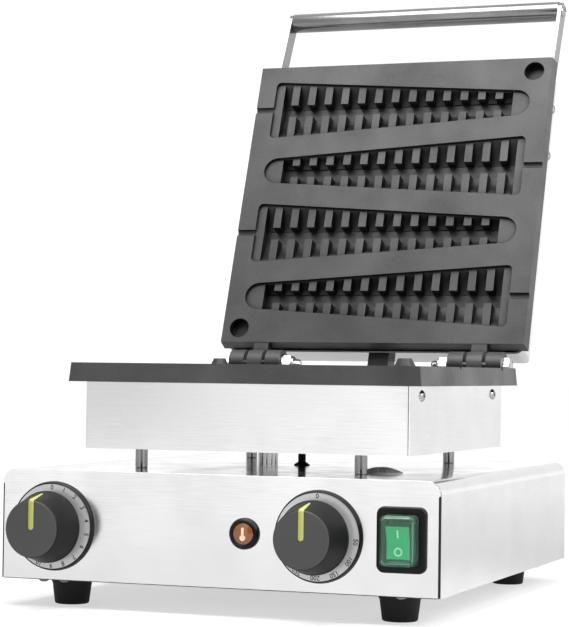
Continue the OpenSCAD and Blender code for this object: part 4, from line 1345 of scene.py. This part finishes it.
@dataclass
class Lamp:
    """The indicator lamp: black bezel, amber lens and the sign printed in it.

    Attributes:
        bezel_r: Outside radius.
        lens_r: Lens radius.
        lens_h: Where the lens's dome starts, and its rise.
        stem: Half width and length of the thermometer sign's stem.
        bulb_r: Radius of the sign's bulb.
    """

    bench: Bench
    bezel_r: float = 10.0
    lens_r: float = 6.7
    lens_h: tuple[float, float] = (2.6, 1.4)
    stem: tuple[float, float] = (0.85, 6.2)
    bulb_r: float = 1.9

    def build(self) -> None:
        """Makes the lamp's visible pieces."""
        x, _, z = self.bench.middle("lamp_bezel")
        place = front_place(x, z)
        profile = [(self.lens_r, 0), (self.bezel_r - 0.2, 0), (self.bezel_r, 0.2)]
        profile += fillet((self.bezel_r - 0.7, 1.3), 0.7, 0, 40, 4) + fillet((8.1, 2.2), 0.8, 45, 130, 6)
        profile += [(self.lens_r + 0.25, 2.3), (self.lens_r, 2.1)]
        bezel = Shape().loop(revolve(profile, 96), place)
        self.bench.piece("lamp_bezel_ring", bezel, BLACK_NYLON, "black_plastic", replaces=["lamp_bezel"])
        start, rise = self.lens_h
        radius = np.linspace(self.lens_r, 0, 14)
        dome = dome_height(radius, 2 * self.lens_r, rise) + start
        lens = Shape().skin(revolve([(self.lens_r, 0)] + list(zip(radius, dome)), 64), place)
        self.bench.piece("lamp_lens_dome", lens, AMBER_PC, "amber_lens", replaces=["lamp_lens"])
        half, length = self.stem
        top = start + rise
        bar = round_rect(2 * half, length, half, 6) + [0, 1.0]
        bulb = circle(self.bulb_r, 28) + [0, -length / 2 + 0.6]
        reach = [top - 0.4, top + 0.03]
        sign = Shape().skin(stack([bar, bar], reach), place).skin(stack([bulb, bulb], reach), place)
        # The sign's glow is painted brightness.
        self.bench.piece("lamp_sign", sign, CREAM_INK_PAINTED_GLOW, "amber_lens")
        self.bench.dress(["lamp_body"], BLACK_NYLON)


@dataclass
class RockerSwitch:
    """The mains switch: crowned frame, clear stepped boot, lit rocker with its two marks.

    Attributes:
        frame: Width, height, corner radius and thickness of the frame.
        boot: Width, height, corner radius and reach of the boot.
        boot_t: Thickness of the boot.
        rocker_w: Width of the rocker.
        pivot_y: How far behind the panel the rocker turns.
        tilt_deg: Its tilt as it rests.
        ridge: How far its middle and its ends stand in front of the pivot, and the ends' distance.
        bar: Width and length of the mark for on.
        ring: Inside and outside radius of the mark for off.
        mark_z: Distance of both marks from the middle.
    """

    bench: Bench
    frame: tuple[float, float, float, float] = (32.2, 41.0, 5.0, 2.6)
    boot: tuple[float, float, float, float] = (23.0, 32.0, 3.0, 12.4)
    boot_t: float = 1.0
    rocker_w: float = 15.6
    pivot_y: float = 1.0
    tilt_deg: float = 8.0
    ridge: tuple[float, float, float] = (8.4, 10.2, 10.8)
    bar: tuple[float, float] = (1.1, 5.2)
    ring: tuple[float, float] = (1.75, 2.75)
    mark_z: float = 5.6

    def surround(self, place: Array) -> None:
        """Makes the frame, crowned between its outer edge and the boot.

        Over a quarter turn a, its outline draws in by crown * (1 - cos a) and rises to side + (t - side) * sin a.

        Args:
            place: The switch's placement.
        """
        w, h, r, t = self.frame
        bw, bh, br, _ = self.boot
        crown, side = 1.4, 0.9
        outlines, heights = [round_rect(bw, bh, br, 10), round_rect(w, h, r, 10)], [0.0, 0.0]
        for s in np.linspace(0, 1, 8):
            inset = crown * (1 - math.cos(s * np.pi / 2))
            outlines.append(round_rect(w - 2 * inset, h - 2 * inset, max(r - inset, 1), 10))
            heights.append(side + (t - side) * math.sin(s * np.pi / 2))
        outlines += [round_rect(bw + 0.8, bh + 0.8, br + 0.4, 10), round_rect(bw, bh, br, 10)]
        heights += [t, t - 0.4]
        shape = Shape().loop(stack(outlines, heights), place)
        self.bench.piece("switch_frame_crowned", shape, BLACK_NYLON, "black_plastic", replaces=["switch_frame"])

    def clear_boot(self, place: Array) -> None:
        """Makes the boot: a step at its foot, soft edges and a wall of even thickness.

        Each row is an inset from the foot's outline and a height. Over a quarter turn a, the shoulder's
        inset is step + soft * (1 - cos a) and its height reach - soft + soft * sin a.

        Args:
            place: The switch's placement.
        """
        w, h, r, reach = self.boot
        foot, step, soft = self.frame[3], 0.55, 1.6
        rows = [(0.0, 0.0), (0.0, foot - 0.4), (0.15, foot - 0.1), (0.5, foot), (step, foot + 0.4)]
        rows.append((step, reach - soft))
        for a in np.linspace(0.2, np.pi / 2, 7):
            rows.append((step + soft * (1 - math.cos(a)), reach - soft + soft * math.sin(a)))
        rows += [(4.5, reach), (8.0, reach)]
        wall = step + self.boot_t
        roof = reach - self.boot_t
        inner = [(8.0, roof), (3.2, roof), (2.2, roof - 0.3), (1.7, roof - 1.0), (wall, 1.0), (wall, 0.0)]
        outlines = [round_rect(w - 2 * i, h - 2 * i, max(r - i * 0.4, 0.4), 8) for i, _ in rows + inner]
        shape = Shape().skin(stack(outlines[: len(rows)], [z for _, z in rows]), place, closed_end=False)
        shape.skin(stack(outlines[len(rows) :], [z for _, z in inner]), place, closed_end=False)
        shape.skin(stack([outlines[-1], outlines[0]], [0, 0]), place, closed_end=False)
        for ring, height in ((outlines[len(rows) - 1], reach), (outlines[len(rows)], roof)):
            flat = stack([ring], [height])
            shape.add(moved(flat, place).reshape(-1, 3), [tuple(range(len(ring)))])
        self.bench.piece("switch_boot_clear", shape, CLEAR_SILICONE, "clear_silicone", replaces=["switch_cover"])

    def rocker(self, x: float, z: float) -> None:
        """Makes the rocker and its marks, tilted about its pivot.

        Seen from the side, its face stands near + (far - near) * |v| / reach in front of the pivot at
        height v, so its two halves slope down to the middle.

        Args:
            x: Place of the switch's middle across the panel.
            z: Its height.
        """
        a = math.radians(self.tilt_deg)
        c, s = math.cos(a), math.sin(a)
        tilt = np.array([[1, 0, 0, x], [0, c, -s, self.pivot_y], [0, s, c, z], [0, 0, 0, 1]])
        near, far, reach = self.ridge
        slope = math.atan2(far - near, reach)
        ramp = [(-near - (far - near) * abs(v) / reach, v) for v in (10.2, 9, 5, 1.5, 0, -1.5, -5, -9, -10.2)]
        flat = np.array([(2.0, -11.2), (2.0, 11.2), (-9.2, 10.6)] + [(y + 0.3, z) for y, z in ramp] + [(-9.2, -10.6)])
        lift = tilt @ np.array([[0, 0, 1, 0], [1, 0, 0, 0], [0, 1, 0, 0], [0, 0, 0, 1]])
        half = self.rocker_w / 2
        shape = Shape().skin(stack([flat, flat], [-half, half]), lift)
        pin = circle(1.5, 32)
        shape.skin(stack([pin, pin], [-9.6, 9.6]), lift)
        self.bench.piece(
            "switch_rocker_body", shape, DARK_GREEN_PC, "green_plastic", "rocker", ["switch_rocker"], bevel_mm=0.25
        )
        lit = np.array(ramp + [(y + 0.5, z) for y, z in reversed(ramp)])
        shape = Shape().skin(stack([lit, lit], [-half + 0.25, half - 0.25]), lift)
        self.bench.piece("switch_rocker_lit", shape, GREEN_PC, "green_plastic", "rocker", bevel_mm=0.2)
        marks = Shape()
        for sign in (1, -1):
            t = sign * slope
            ct, st = math.cos(t), math.sin(t)
            out = near + (far - near) * self.mark_z / reach
            face = np.array([[1, 0, 0, 0], [0, -st, -ct, -out], [0, ct, -st, self.mark_z * sign], [0, 0, 0, 1]])
            low, top = -0.1, 0.06
            if sign > 0:
                bar = round_rect(*self.bar, 0.3, 3)
                marks.skin(stack([bar, bar], [low, top]), tilt @ face)
            else:
                inner, outer = self.ring
                marks.loop(revolve([(inner, low), (outer, low), (outer, top), (inner, top)], 40), tilt @ face)
        self.bench.piece("switch_marks", marks, WHITE_INK, "green_plastic", "rocker")

    def build(self) -> None:
        """Makes the whole switch."""
        x, _, z = self.bench.middle("switch_frame")
        place = front_place(x, z)
        self.surround(place)
        self.clear_boot(place)
        self.rocker(x, z)
        self.bench.dress(["switch_body"], BLACK_NYLON)


@dataclass
class HeaterBox:
    """The box under the lower plate, its posts, its vent cap and what runs up into it.

    Attributes:
        post_r: Radius of a post and of its bore.
        screw: The screws in the box's sides.
        cap: Radius and rise of the vent cap, and the radius of its plug.
        ribs: Ribs over the vent cap.
        rib_mm: Their height.
        sleeve: Outside and inside radius of the sensor's sleeve.
        fitting: Size of the wiring fitting across its corners, its pipe's radius and its bore.
    """

    bench: Bench
    post_r: tuple[float, float] = (4.2, 3.0)
    screw: Screw = Screw(8, 2.4, 4, 9)
    cap: tuple[float, float, float] = (14.0, 4.2, 10.0)
    ribs: int = 20
    rib_mm: float = 0.7
    sleeve: tuple[float, float] = (2.7, 1.7)
    fitting: tuple[float, float, float] = (15.6, 5.5, 4.0)

    def posts(self, floor: float, top: float) -> None:
        """Makes the four posts with turned ends.

        Args:
            floor: Height of their feet.
            top: Height of their tops.
        """
        outer, bore = self.post_r
        edge = 0.4
        profile = [(bore, floor), (outer - edge, floor), (outer, floor + edge)]
        profile += [(outer, top - edge), (outer - edge, top), (bore, top)]
        shape = Shape()
        for low, high in self.bench.islands("standoff_posts"):
            x, y, _ = (low + high) / 2
            shape.loop(revolve(profile, 48), up_place(x, y, 0))
        self.bench.piece("posts_turned", shape, DRAWN_STAINLESS_PAINTED_DARK, "zinc_plated_steel", replaces=["standoff_posts"])
        self.bench.dress(["post_bolts"], ZINC_PLATE)

    def vent_cap(self, floor: float) -> None:
        """Makes the vent cap: a low dome with ribs.

        Its height at radius r and angle a is dome(r) - rib_mm * (1 - cos(ribs * a)) / 2. The ribs fade
        out near the middle and near the rim.

        Args:
            floor: Height that it stands on.
        """
        radius, rise, plug = self.cap
        x, y, _ = self.bench.middle("vent_cap")
        place = up_place(x, y, floor)
        count = self.ribs * 8
        across = np.linspace(1, 0, 24)
        turn = np.arange(count) * 2 * np.pi / count
        flat = np.stack([circle(max(a * radius, 1e-4), count) for a in across])
        band = np.clip((across - 0.32) / 0.08, 0, 1) * np.clip((0.9 - across) / 0.06, 0, 1)
        rim = 0.5
        height = dome_height(across * radius, 2 * radius, rise - rim)[:, None] + rim
        height = height - self.rib_mm * band[:, None] * (0.5 - 0.5 * np.cos(self.ribs * turn))[None, :]
        dome = np.concatenate([flat, height[..., None]], -1)
        under = revolve([(0, -1), (plug - 1.5, -1), (plug - 1.5, -8), (plug, -8), (plug, 0), (radius, 0)], count)
        shape = Shape().skin(np.concatenate([under, dome]), place)
        self.bench.piece("vent_cap_ribbed", shape, GREY_NYLON, "dark_grey_plastic", replaces=["vent_cap"])

    def sensor(self, floor: float) -> None:
        """Makes the sensor's sleeve and the cone-shaped grommet at its foot.

        Args:
            floor: Height of the panel that the grommet sits in.
        """
        outer, inner = self.sleeve
        low, high = self.bench.box("sensor_sleeve")
        x, y, _ = (low + high) / 2
        place = up_place(x, y, 0)
        foot, top, edge = low[2], high[2], 0.3
        profile = [(inner, foot), (outer - edge, foot), (outer, foot + edge)]
        profile += [(outer, top - edge), (outer - edge, top), (inner, top)]
        tube = Shape().loop(revolve(profile, 40), place)
        self.bench.piece("sensor_sleeve_tube", tube, BLACK_RUBBER, "black_rubber", replaces=["sensor_sleeve"])
        profile = [(outer, -2.8), (5.2, -2.8), (5.5, -2.5), (5.5, -1.2), (3.7, -1.2), (3.7, 0), (5.3, 0)]
        profile += fillet((5.3, 0.35), 0.35, -90, 60, 4) + [(3.3, 2.1), (3.1, 2.4), (outer, 2.4)]
        cone = Shape().loop(revolve([(r, h + floor) for r, h in profile], 48), place)
        self.bench.piece("sensor_grommet_cone", cone, BLACK_RUBBER, "black_rubber", replaces=["sensor_grommet"])

    def wiring(self, floor: float, top: float) -> None:
        """Makes the hexagon fitting with its pipe and lock nuts.

        Args:
            floor: Height of the fitting's foot.
            top: Height of its top.
        """
        corner, pipe, bore = self.fitting
        low, high = self.bench.box("wiring_fitting")
        x, y, _ = (low + high) / 2
        place = up_place(x, y, 0)
        nut, sheet, thick = corner + 1.4, 1.2, 4
        shape = Shape().loop(hex_rings(corner, floor, top, bore), place)
        shape.loop(hex_rings(nut, floor - sheet - thick, floor - sheet, pipe), place)
        shape.loop(hex_rings(nut, top + sheet, top + sheet + thick, pipe), place)
        shape.loop(revolve([(bore, low[2]), (pipe, low[2]), (pipe, high[2]), (bore, high[2])], 48), place)
        self.bench.piece("wiring_fitting_hex", shape, ZINC_PLATE, "zinc_plated_steel", replaces=["wiring_fitting"])

    def build(self) -> None:
        """Makes the box and everything below it."""
        floor = self.bench.box("standoff_posts")[0][2]
        top = self.bench.box("heater_box")[0][2]
        self.bench.skin_node("heater_box", GROUND_STAINLESS, "stainless_steel", bevel_mm=0.4)
        screws = Shape()
        side = self.bench.box("heater_box")[1][0]
        for low, high in self.bench.islands("heater_box_screws"):
            sign = 1 if low[0] > 0 else -1
            _, y, z = (low + high) / 2
            self.screw.put(screws, side_place(sign, sign * side, y, z))
        self.bench.piece(
            "heater_box_screws_cross", screws, ZINC_PLATE, "zinc_plated_steel", replaces=["heater_box_screws"]
        )
        self.posts(floor, top)
        self.vent_cap(floor)
        self.sensor(floor)
        self.wiring(floor, top)
        self.bench.dress(["thermostat_capillary"], COPPER)


@dataclass
class Hinges:
    """The hinge bolts with their lock nuts.

    Attributes:
        inner_x: Inner face of the innermost knuckle.
        outer_x: Outer face of the outermost knuckle.
        bolt_r: Bolt radius.
        corner_d: Nut and head size across the corners.
        head_h: Height of the head.
        tail: How far the thread passes the knuckle.
        pitch: Thread pitch.
        thread_mm: Thread depth.
        washer: Radius and thickness of the washer.
        nut_h: Height of the nut's top and of its collar's top above the knuckle.
    """

    bench: Bench
    inner_x: float = 67.5
    outer_x: float = 109.5
    bolt_r: float = 4.0
    corner_d: float = 15.0
    head_h: float = 5.3
    tail: float = 14.5
    pitch: float = 1.25
    thread_mm: float = 0.55
    washer: tuple[float, float] = (8.0, 1.6)
    nut_h: tuple[float, float] = (8.0, 9.6)

    def build(self) -> None:
        """Makes both bolts and both nuts.

        The thread is a profile of radius bolt_r and bolt_r - thread_mm in turn, half a pitch apart.
        """
        bolts, nuts = Shape(), Shape()
        bolt = self.bolt_r
        for sign in (1, -1):
            place = side_place(sign, 0, self.bench.pin_y, self.bench.pin_z)
            start = self.inner_x - self.tail
            turns = int((self.tail - 1.5) / self.pitch * 2)
            profile = [(0, start), (bolt - 1.2, start)]
            for k in range(turns):
                profile.append((bolt - self.thread_mm * ((k + 1) % 2), start + 0.9 + k * self.pitch / 2))
            profile += [(bolt, self.inner_x), (bolt, self.outer_x), (0, self.outer_x)]
            bolts.skin(revolve(profile, 48), place)
            bolts.skin(hex_rings(self.corner_d, self.outer_x, self.outer_x + self.head_h), place)
            out = side_place(-sign, 0, self.bench.pin_y, self.bench.pin_z)
            seat, edge = -self.inner_x, 0.2
            rim, thick = self.washer
            nut_top, collar_top = self.nut_h
            nuts.loop(hex_rings(self.corner_d, seat + thick, seat + nut_top, bolt), out)
            washer = [(bolt, 0), (rim - edge, 0), (rim, edge), (rim, thick - edge), (rim - edge, thick), (bolt, thick)]
            nuts.loop(revolve([(r, seat + h) for r, h in washer], 64), out)
            collar = [(bolt, nut_top - 0.4), (5.7, nut_top - 0.4)]
            collar += fillet((4.9, collar_top - 0.8), 0.8, 0, 90, 4) + [(bolt, collar_top)]
            nuts.loop(revolve([(r, seat + h) for r, h in collar], 64), out)
        self.bench.piece("hinge_bolts_hex", bolts, ZINC_PLATE, "zinc_plated_steel", replaces=["hinge_bolts"])
        self.bench.piece("hinge_nuts_hex", nuts, ZINC_PLATE, "zinc_plated_steel", replaces=["hinge_nuts"])


@dataclass
class Lid:
    """The lid's cover, handle and fasteners, worked out shut.

    Attributes:
        tube: Radius of the handle tube, its bore, its plugs' length and its screw holes' radius.
        end_screw: Screws in the handle's ends.
        arm_screw: Screws in the cover's sides.
        nut: Size of the cover's nuts across their corners and their height.
        nut_dome: Radius and rise of the dome on such a nut.
        stud_r: Radius of the stud below it.
        gland: Size of the outlet's nut across its corners, its length and its bore.
    """

    bench: Bench
    tube: tuple[float, float, float, float] = (8.0, 6.5, 12.0, 2.5)
    end_screw: Screw = Screw(11.5, 2.8, 5, 13)
    arm_screw: Screw = Screw(8, 2.6, 4, 5.2)
    nut: tuple[float, float] = (9.2, 4.0)
    nut_dome: tuple[float, float] = (4.0, 3.1)
    stud_r: float = 2.5
    gland: tuple[float, float, float] = (14.6, 5.0, 3.5)

    def handle(self) -> None:
        """Makes the tube, the screws in its ends and both arms."""
        low, high = self.bench.closed_box("handle_tube")
        _, y, z = (low + high) / 2
        outer, inner, plug, hole = self.tube
        end = high[0]
        half = [(inner, end - plug), (hole, end - plug), (hole, end)] + fillet((outer - 0.5, end - 0.5), 0.5, 90, 0, 3)
        profile = [(r, -h) for r, h in reversed(half)] + half
        shape = Shape().loop(revolve(profile, 64), side_place(1, 0, y, z))
        self.bench.piece(
            "handle_tube_drawn", shape, DRAWN_STAINLESS_PAINTED_DARK, "stainless_steel", "lid", ["handle_tube"], lid=True
        )
        screws = Shape()
        side = self.bench.closed_box("handle_arm_right")[1][0]
        for sign in (1, -1):
            self.end_screw.put(screws, side_place(sign, sign * side, y, z))
        self.bench.piece(
            "handle_screws_cross", screws, ZINC_PLATE, "zinc_plated_steel", "lid", ["handle_screws"], lid=True
        )
        for node in ("handle_arm_left", "handle_arm_right"):
            self.bench.skin_node(node, DRAWN_STAINLESS_PAINTED_DARK, "stainless_steel", "lid", 0.4)

    def cover(self) -> None:
        """Makes the cover with its side screws and its domed nuts.

        A dome is a quarter ellipse turned about the stud: radius wide * cos a and height tall * sin a.
        """
        self.bench.skin_node("lid_cover", COVER_STAINLESS, "stainless_steel", "lid", 0.25)
        high = self.bench.closed_box("lid_cover")[1]
        screws = Shape()
        for start, end in self.bench.islands("arm_screws", lid=True):
            sign = 1 if start[0] > 0 else -1
            _, y, z = (start + end) / 2
            self.arm_screw.put(screws, side_place(sign, sign * high[0], y, z))
        self.bench.piece("arm_screws_cross", screws, ZINC_PLATE, "zinc_plated_steel", "lid", ["arm_screws"], lid=True)
        nuts = Shape()
        corner, rise = self.nut
        wide, tall = self.nut_dome
        foot = rise - 0.1
        for start, end in self.bench.islands("lid_cover_nuts", lid=True):
            x, y, _ = (start + end) / 2
            place = up_place(x, y, high[2])
            nuts.skin(hex_rings(corner, 0, rise), place)
            dome = [(wide * math.cos(a), foot + tall * math.sin(a)) for a in np.linspace(0, np.pi / 2, 9)]
            nuts.skin(revolve([(0, foot)] + dome, 48), place)
            nuts.skin(revolve([(self.stud_r, start[2] - high[2]), (self.stud_r, 0.5)], 32), place)
        self.bench.piece(
            "lid_cover_nuts_domed", nuts, ZINC_PLATE, "zinc_plated_steel", "lid", ["lid_cover_nuts"], lid=True
        )

    def outlet(self) -> None:
        """Makes the block and the nut where the upper element's lead comes out."""
        self.bench.skin_node("lid_outlet_block", BLACK_NYLON, "black_plastic", "lid", 0.8)
        low, high = self.bench.closed_box("lid_outlet_gland")
        corner, length, bore = self.gland
        x, _, z = (low + high) / 2
        place = back_place(x, low[1], z)
        shape = Shape().loop(hex_rings(corner, 0, length, bore), place)
        wide, end = 6.2, 11
        cone = [(bore, length)] + [(wide - 0.2 * k, length + k) for k in range(6)] + [(4.9, end), (bore, end)]
        shape.loop(revolve(cone, 48), place)
        self.bench.piece(
            "lid_outlet_gland_hex", shape, ZINC_PLATE, "zinc_plated_steel", "lid", ["lid_outlet_gland"], lid=True
        )

    def build(self) -> None:
        """Makes the lid's pieces."""
        self.handle()
        self.cover()
        self.outlet()


@dataclass
class Studio:
    """Camera, lights and floor.

    Attributes:
        eye: Camera's place in panel-frame millimetres.
        yaw_deg: Turn to the left of straight back.
        pitch_deg: Tilt above level.
        roll_deg: Turn about the line of sight.
        lens_mm: Focal length for a 36 mm sensor on the picture's long side.
        ambient: Brightness of the surround to matt surfaces.
        mirror: Brightness of the surround in reflections.
        band: Heights of the dark band's lower and upper edge, as z of its direction.
        band_dark: How much of its light the band loses in front and behind.
        left_x: Where the dark left side starts and is full, as x of its direction.
        left_dark: How much of its light the left side loses.
        back_dark: How much of its light the back loses.
        white: Brightness of the surround to the camera.
        card_x: Left and right side of the dark card, in metres.
        card_y: Its place, in metres.
        card_top: Its height, in metres.
        above: Brightness of the softbox above.
        right: Brightness of the softbox on the right.
        floor_m: Half the floor's side.
        floor_glow: The floor's own brightness to the camera, near and far.
        floor_bounce: The floor's own brightness to all else, near and far, and the share left on the left.
        floor_behind: Share of that brightness left behind the object.
    """

    bench: Bench
    eye: tuple[float, float, float] = (520.85, -1273.13, 156.59)
    yaw_deg: float = 20.434
    pitch_deg: float = 1.52
    roll_deg: float = 0.727
    lens_mm: float = 123.96
    ambient: float = 0.3
    mirror: float = 1.22
    band: tuple[float, float] = (0.13, 0.66)
    band_dark: tuple[float, float] = (0.12, 0.15)
    left_x: tuple[float, float] = (-0.38, -0.52)
    left_dark: float = 0.34
    back_dark: float = 0.06
    white: float = 1.1
    card_x: tuple[float, float] = (0.1, 1.9)
    card_y: float = -2.3
    card_top: float = 1.3
    above: float = 6.0
    right: float = 11.0
    floor_m: float = 30.0
    floor_glow: tuple[float, float] = (0.55, 0.85)
    floor_bounce: tuple[float, float, float] = (0.2, 1.08, 0.58)
    floor_behind: float = 0.76

    def camera(self) -> None:
        """Places the camera."""
        data = bpy.data.cameras.new("camera")
        data.lens = self.lens_mm
        data.sensor_width = 36.0
        data.clip_start = 0.05
        cam = bpy.data.objects.new("camera", data)
        turn = Matrix.Rotation(math.radians(self.yaw_deg), 4, "Z")
        tilt = Matrix.Rotation(math.radians(90 + self.pitch_deg), 4, "X")
        roll = Matrix.Rotation(math.radians(self.roll_deg), 4, "Z")
        place = Matrix.Translation(Vector(self.bench.to_frame(np.array([self.eye]), False)[0]))
        cam.matrix_world = place @ turn @ tilt @ roll
        bpy.context.scene.collection.objects.link(cam)
        bpy.context.scene.camera = cam

    def softbox(self, name: str, place: Sequence[float], size: tuple[float, float], radiance: float) -> None:
        """Adds a rectangular softbox that faces the object's middle.

        Its power is radiance * pi * width * height, so a mirror shows it at that brightness.

        Args:
            name: The light's name.
            place: Its place in metres.
            size: Its width and height in metres.
            radiance: Its brightness, 1 for the white of the backdrop.
        """
        data = bpy.data.lights.new(name, "AREA")
        data.shape = "RECTANGLE"
        data.size, data.size_y = size
        data.energy = radiance * math.pi * size[0] * size[1]
        obj = bpy.data.objects.new(name, data)
        obj.location = place
        aim = Vector((0, 0, 0.15)) - Vector(place)
        obj.rotation_euler = aim.to_track_quat("-Z", "Y").to_euler()
        bpy.context.scene.collection.objects.link(obj)

    def floor(self) -> None:
        """Lays a wide white floor that glows a little, so that its shadows stay pale.

        To the camera its glow rises with the distance r from the middle. To all else it does so too,
        and is multiplied by what falls towards the left, with x, and by what falls behind, with y.
        """
        mesh = bpy.data.meshes.new("studio_floor")
        half = self.floor_m
        mesh.from_pydata([(-half, -half, 0), (half, -half, 0), (half, half, 0), (-half, half, 0)], [], [(0, 1, 2, 3)])
        mat = bpy.data.materials.new("studio white")
        mat.use_nodes = True
        tree = mat.node_tree
        tree.nodes.clear()
        direct = add_node(tree, "ShaderNodeLightPath").outputs["Is Camera Ray"]
        where = add_node(tree, "ShaderNodeTexCoord").outputs["Object"]
        away = add_node(tree, "ShaderNodeVectorMath", {0: where}, operation="LENGTH").outputs["Value"]
        x, y, _ = add_node(tree, "ShaderNodeSeparateXYZ", {0: where}).outputs
        near, far, share = self.floor_bounce
        slopes = {
            "glow": (away, (0.35, 1.6), self.floor_glow),
            "left": (x, (-0.8, -2.4), (1.0, share)),
            "behind": (y, (0.4, 2.0), (1.0, self.floor_behind)),
            "bounce": (away, (0.5, 2.2), (near, far)),
        }
        level: dict[str, Any] = {}
        for name, (value, place, ends) in slopes.items():
            inputs = {"Value": value, "From Min": place[0], "From Max": place[1], "To Min": ends[0], "To Max": ends[1]}
            level[name] = add_node(tree, "ShaderNodeMapRange", inputs).outputs[0]
        bounce = level["bounce"]
        for name in ("left", "behind"):
            inputs = {0: bounce, 1: level[name]}
            bounce = add_node(tree, "ShaderNodeMath", inputs, operation="MULTIPLY").outputs[0]
        inputs = {0: direct, 2: bounce, 3: level["glow"]}
        glow = add_node(tree, "ShaderNodeMix", inputs, data_type="FLOAT").outputs[0]
        inputs = {
            "Base Color": (0.5, 0.5, 0.5, 1),
            "Roughness": 1.0,
            "Specular IOR Level": 0.0,
            "Emission Color": (1, 1, 1, 1),
            "Emission Strength": glow,
        }
        shader = add_node(tree, "ShaderNodeBsdfPrincipled", inputs)
        add_node(tree, "ShaderNodeOutputMaterial", {"Surface": shader.outputs[0]})
        mesh.materials.append(mat)
        obj = bpy.data.objects.new("studio_floor", mesh)
        bpy.context.scene.collection.objects.link(obj)

    def card(self) -> None:
        """Stands a dark card in front, seen in reflections alone, which gives round metal its dark stripe."""
        x0, x1 = self.card_x
        y, top = self.card_y, self.card_top
        mesh = bpy.data.meshes.new("studio_card")
        mesh.from_pydata([(x0, y, 0.001), (x1, y, 0.001), (x1, y, top), (x0, y, top)], [], [(0, 1, 2, 3)])
        mat = bpy.data.materials.new("studio black card")
        mat.use_nodes = True
        shader = mat.node_tree.nodes["Principled BSDF"]
        shader.inputs["Base Color"].default_value = (0.02, 0.02, 0.02, 1)
        shader.inputs["Roughness"].default_value = 1.0
        mesh.materials.append(mat)
        obj = bpy.data.objects.new("studio_card", mesh)
        obj.visible_camera = False
        bpy.context.scene.collection.objects.link(obj)

    def world(self) -> None:
        """Sets the surround: white to the camera, dimmer to matt surfaces, and shaped in reflections.

        In a reflection, with (x, y, z) its direction, the surround is mirror times three factors, each
        1 less a share: the dark band's, where z is between the two band values, the left side's in
        front, where x is low, and the back's, where y is high. A share comes in over a short rise.
        """
        world = bpy.data.worlds.new("studio")
        bpy.context.scene.world = world
        world.use_nodes = True
        tree = world.node_tree
        tree.nodes.clear()
        where = add_node(tree, "ShaderNodeTexCoord").outputs["Generated"]
        x, y, z = add_node(tree, "ShaderNodeSeparateXYZ", {0: where}).outputs
        low, high = self.band
        rises = {
            "front": (y, 0.15, -0.15),
            "back": (y, -0.15, 0.15),
            "over": (z, low - 0.04, low + 0.04),
            "under": (z, high + 0.05, high - 0.05),
            "left": (x, *self.left_x),
        }
        share: dict[str, Any] = {}
        for name, (axis, none, full) in rises.items():
            inputs = {"Value": axis, "From Min": none, "From Max": full, "To Min": 0.0, "To Max": 1.0}
            share[name] = add_node(tree, "ShaderNodeMapRange", inputs).outputs[0]
        ahead, behind = self.band_dark
        inputs = {"Value": share["front"], "From Min": 0.0, "From Max": 1.0, "To Min": behind, "To Max": ahead}
        share["depth"] = add_node(tree, "ShaderNodeMapRange", inputs).outputs[0]
        for name, first, second in (("left", "left", "front"), ("band", "over", "under"), ("band", "band", "depth")):
            inputs = {0: share[first], 1: share[second]}
            share[name] = add_node(tree, "ShaderNodeMath", inputs, operation="MULTIPLY").outputs[0]
        glossy: Any = self.mirror
        for name, dark in (("band", 1.0), ("left", self.left_dark), ("back", self.back_dark)):
            inputs = {0: share[name], 1: -dark, 2: 1.0}
            kept = add_node(tree, "ShaderNodeMath", inputs, operation="MULTIPLY_ADD").outputs[0]
            glossy = add_node(tree, "ShaderNodeMath", {0: kept, 1: glossy}, operation="MULTIPLY").outputs[0]
        path = add_node(tree, "ShaderNodeLightPath").outputs
        inputs = {0: path["Is Glossy Ray"], 2: self.ambient, 3: glossy}
        seen = add_node(tree, "ShaderNodeMix", inputs, data_type="FLOAT").outputs[0]
        inputs = {0: path["Is Camera Ray"], 2: seen, 3: self.white}
        strength = add_node(tree, "ShaderNodeMix", inputs, data_type="FLOAT").outputs[0]
        back = add_node(tree, "ShaderNodeBackground", {"Color": (1, 1, 1, 1), "Strength": strength})
        add_node(tree, "ShaderNodeOutputWorld", {"Surface": back.outputs[0]})

    def build(self) -> None:
        """Sets up the whole studio."""
        self.camera()
        self.floor()
        self.world()
        self.card()
        self.softbox("softbox_above", (0.0, -0.5, 1.6), (1.5, 1.1), self.above)
        self.softbox("softbox_right", (1.2, -0.45, 0.95), (0.6, 0.8), self.right)
        scene = bpy.context.scene
        scene.view_settings.view_transform = "Standard"
        scene.view_settings.look = "None"
        scene.cycles.use_denoising = True


def main() -> None:
    """Builds every sub-assembly in order."""
    logging.basicConfig(level=logging.INFO, format="%(message)s")
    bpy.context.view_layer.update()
    bench = Bench.from_frame()
    Studio(bench).build()
    Housing(bench).build()
    MouldPlates(bench).build()
    Feet(bench).build()
    Dial(bench, "timer", {20.0 * k: str(k) for k in range(16)}).build()
    Dial(bench, "thermostat", {0.0: "0", **{95.0 + 29 * k: str(50 * (k + 1)) for k in range(6)}}).build()
    Lamp(bench).build()
    RockerSwitch(bench).build()
    HeaterBox(bench).build()
    Hinges(bench).build()
    Lid(bench).build()


if __name__ == "__main__":
    main()
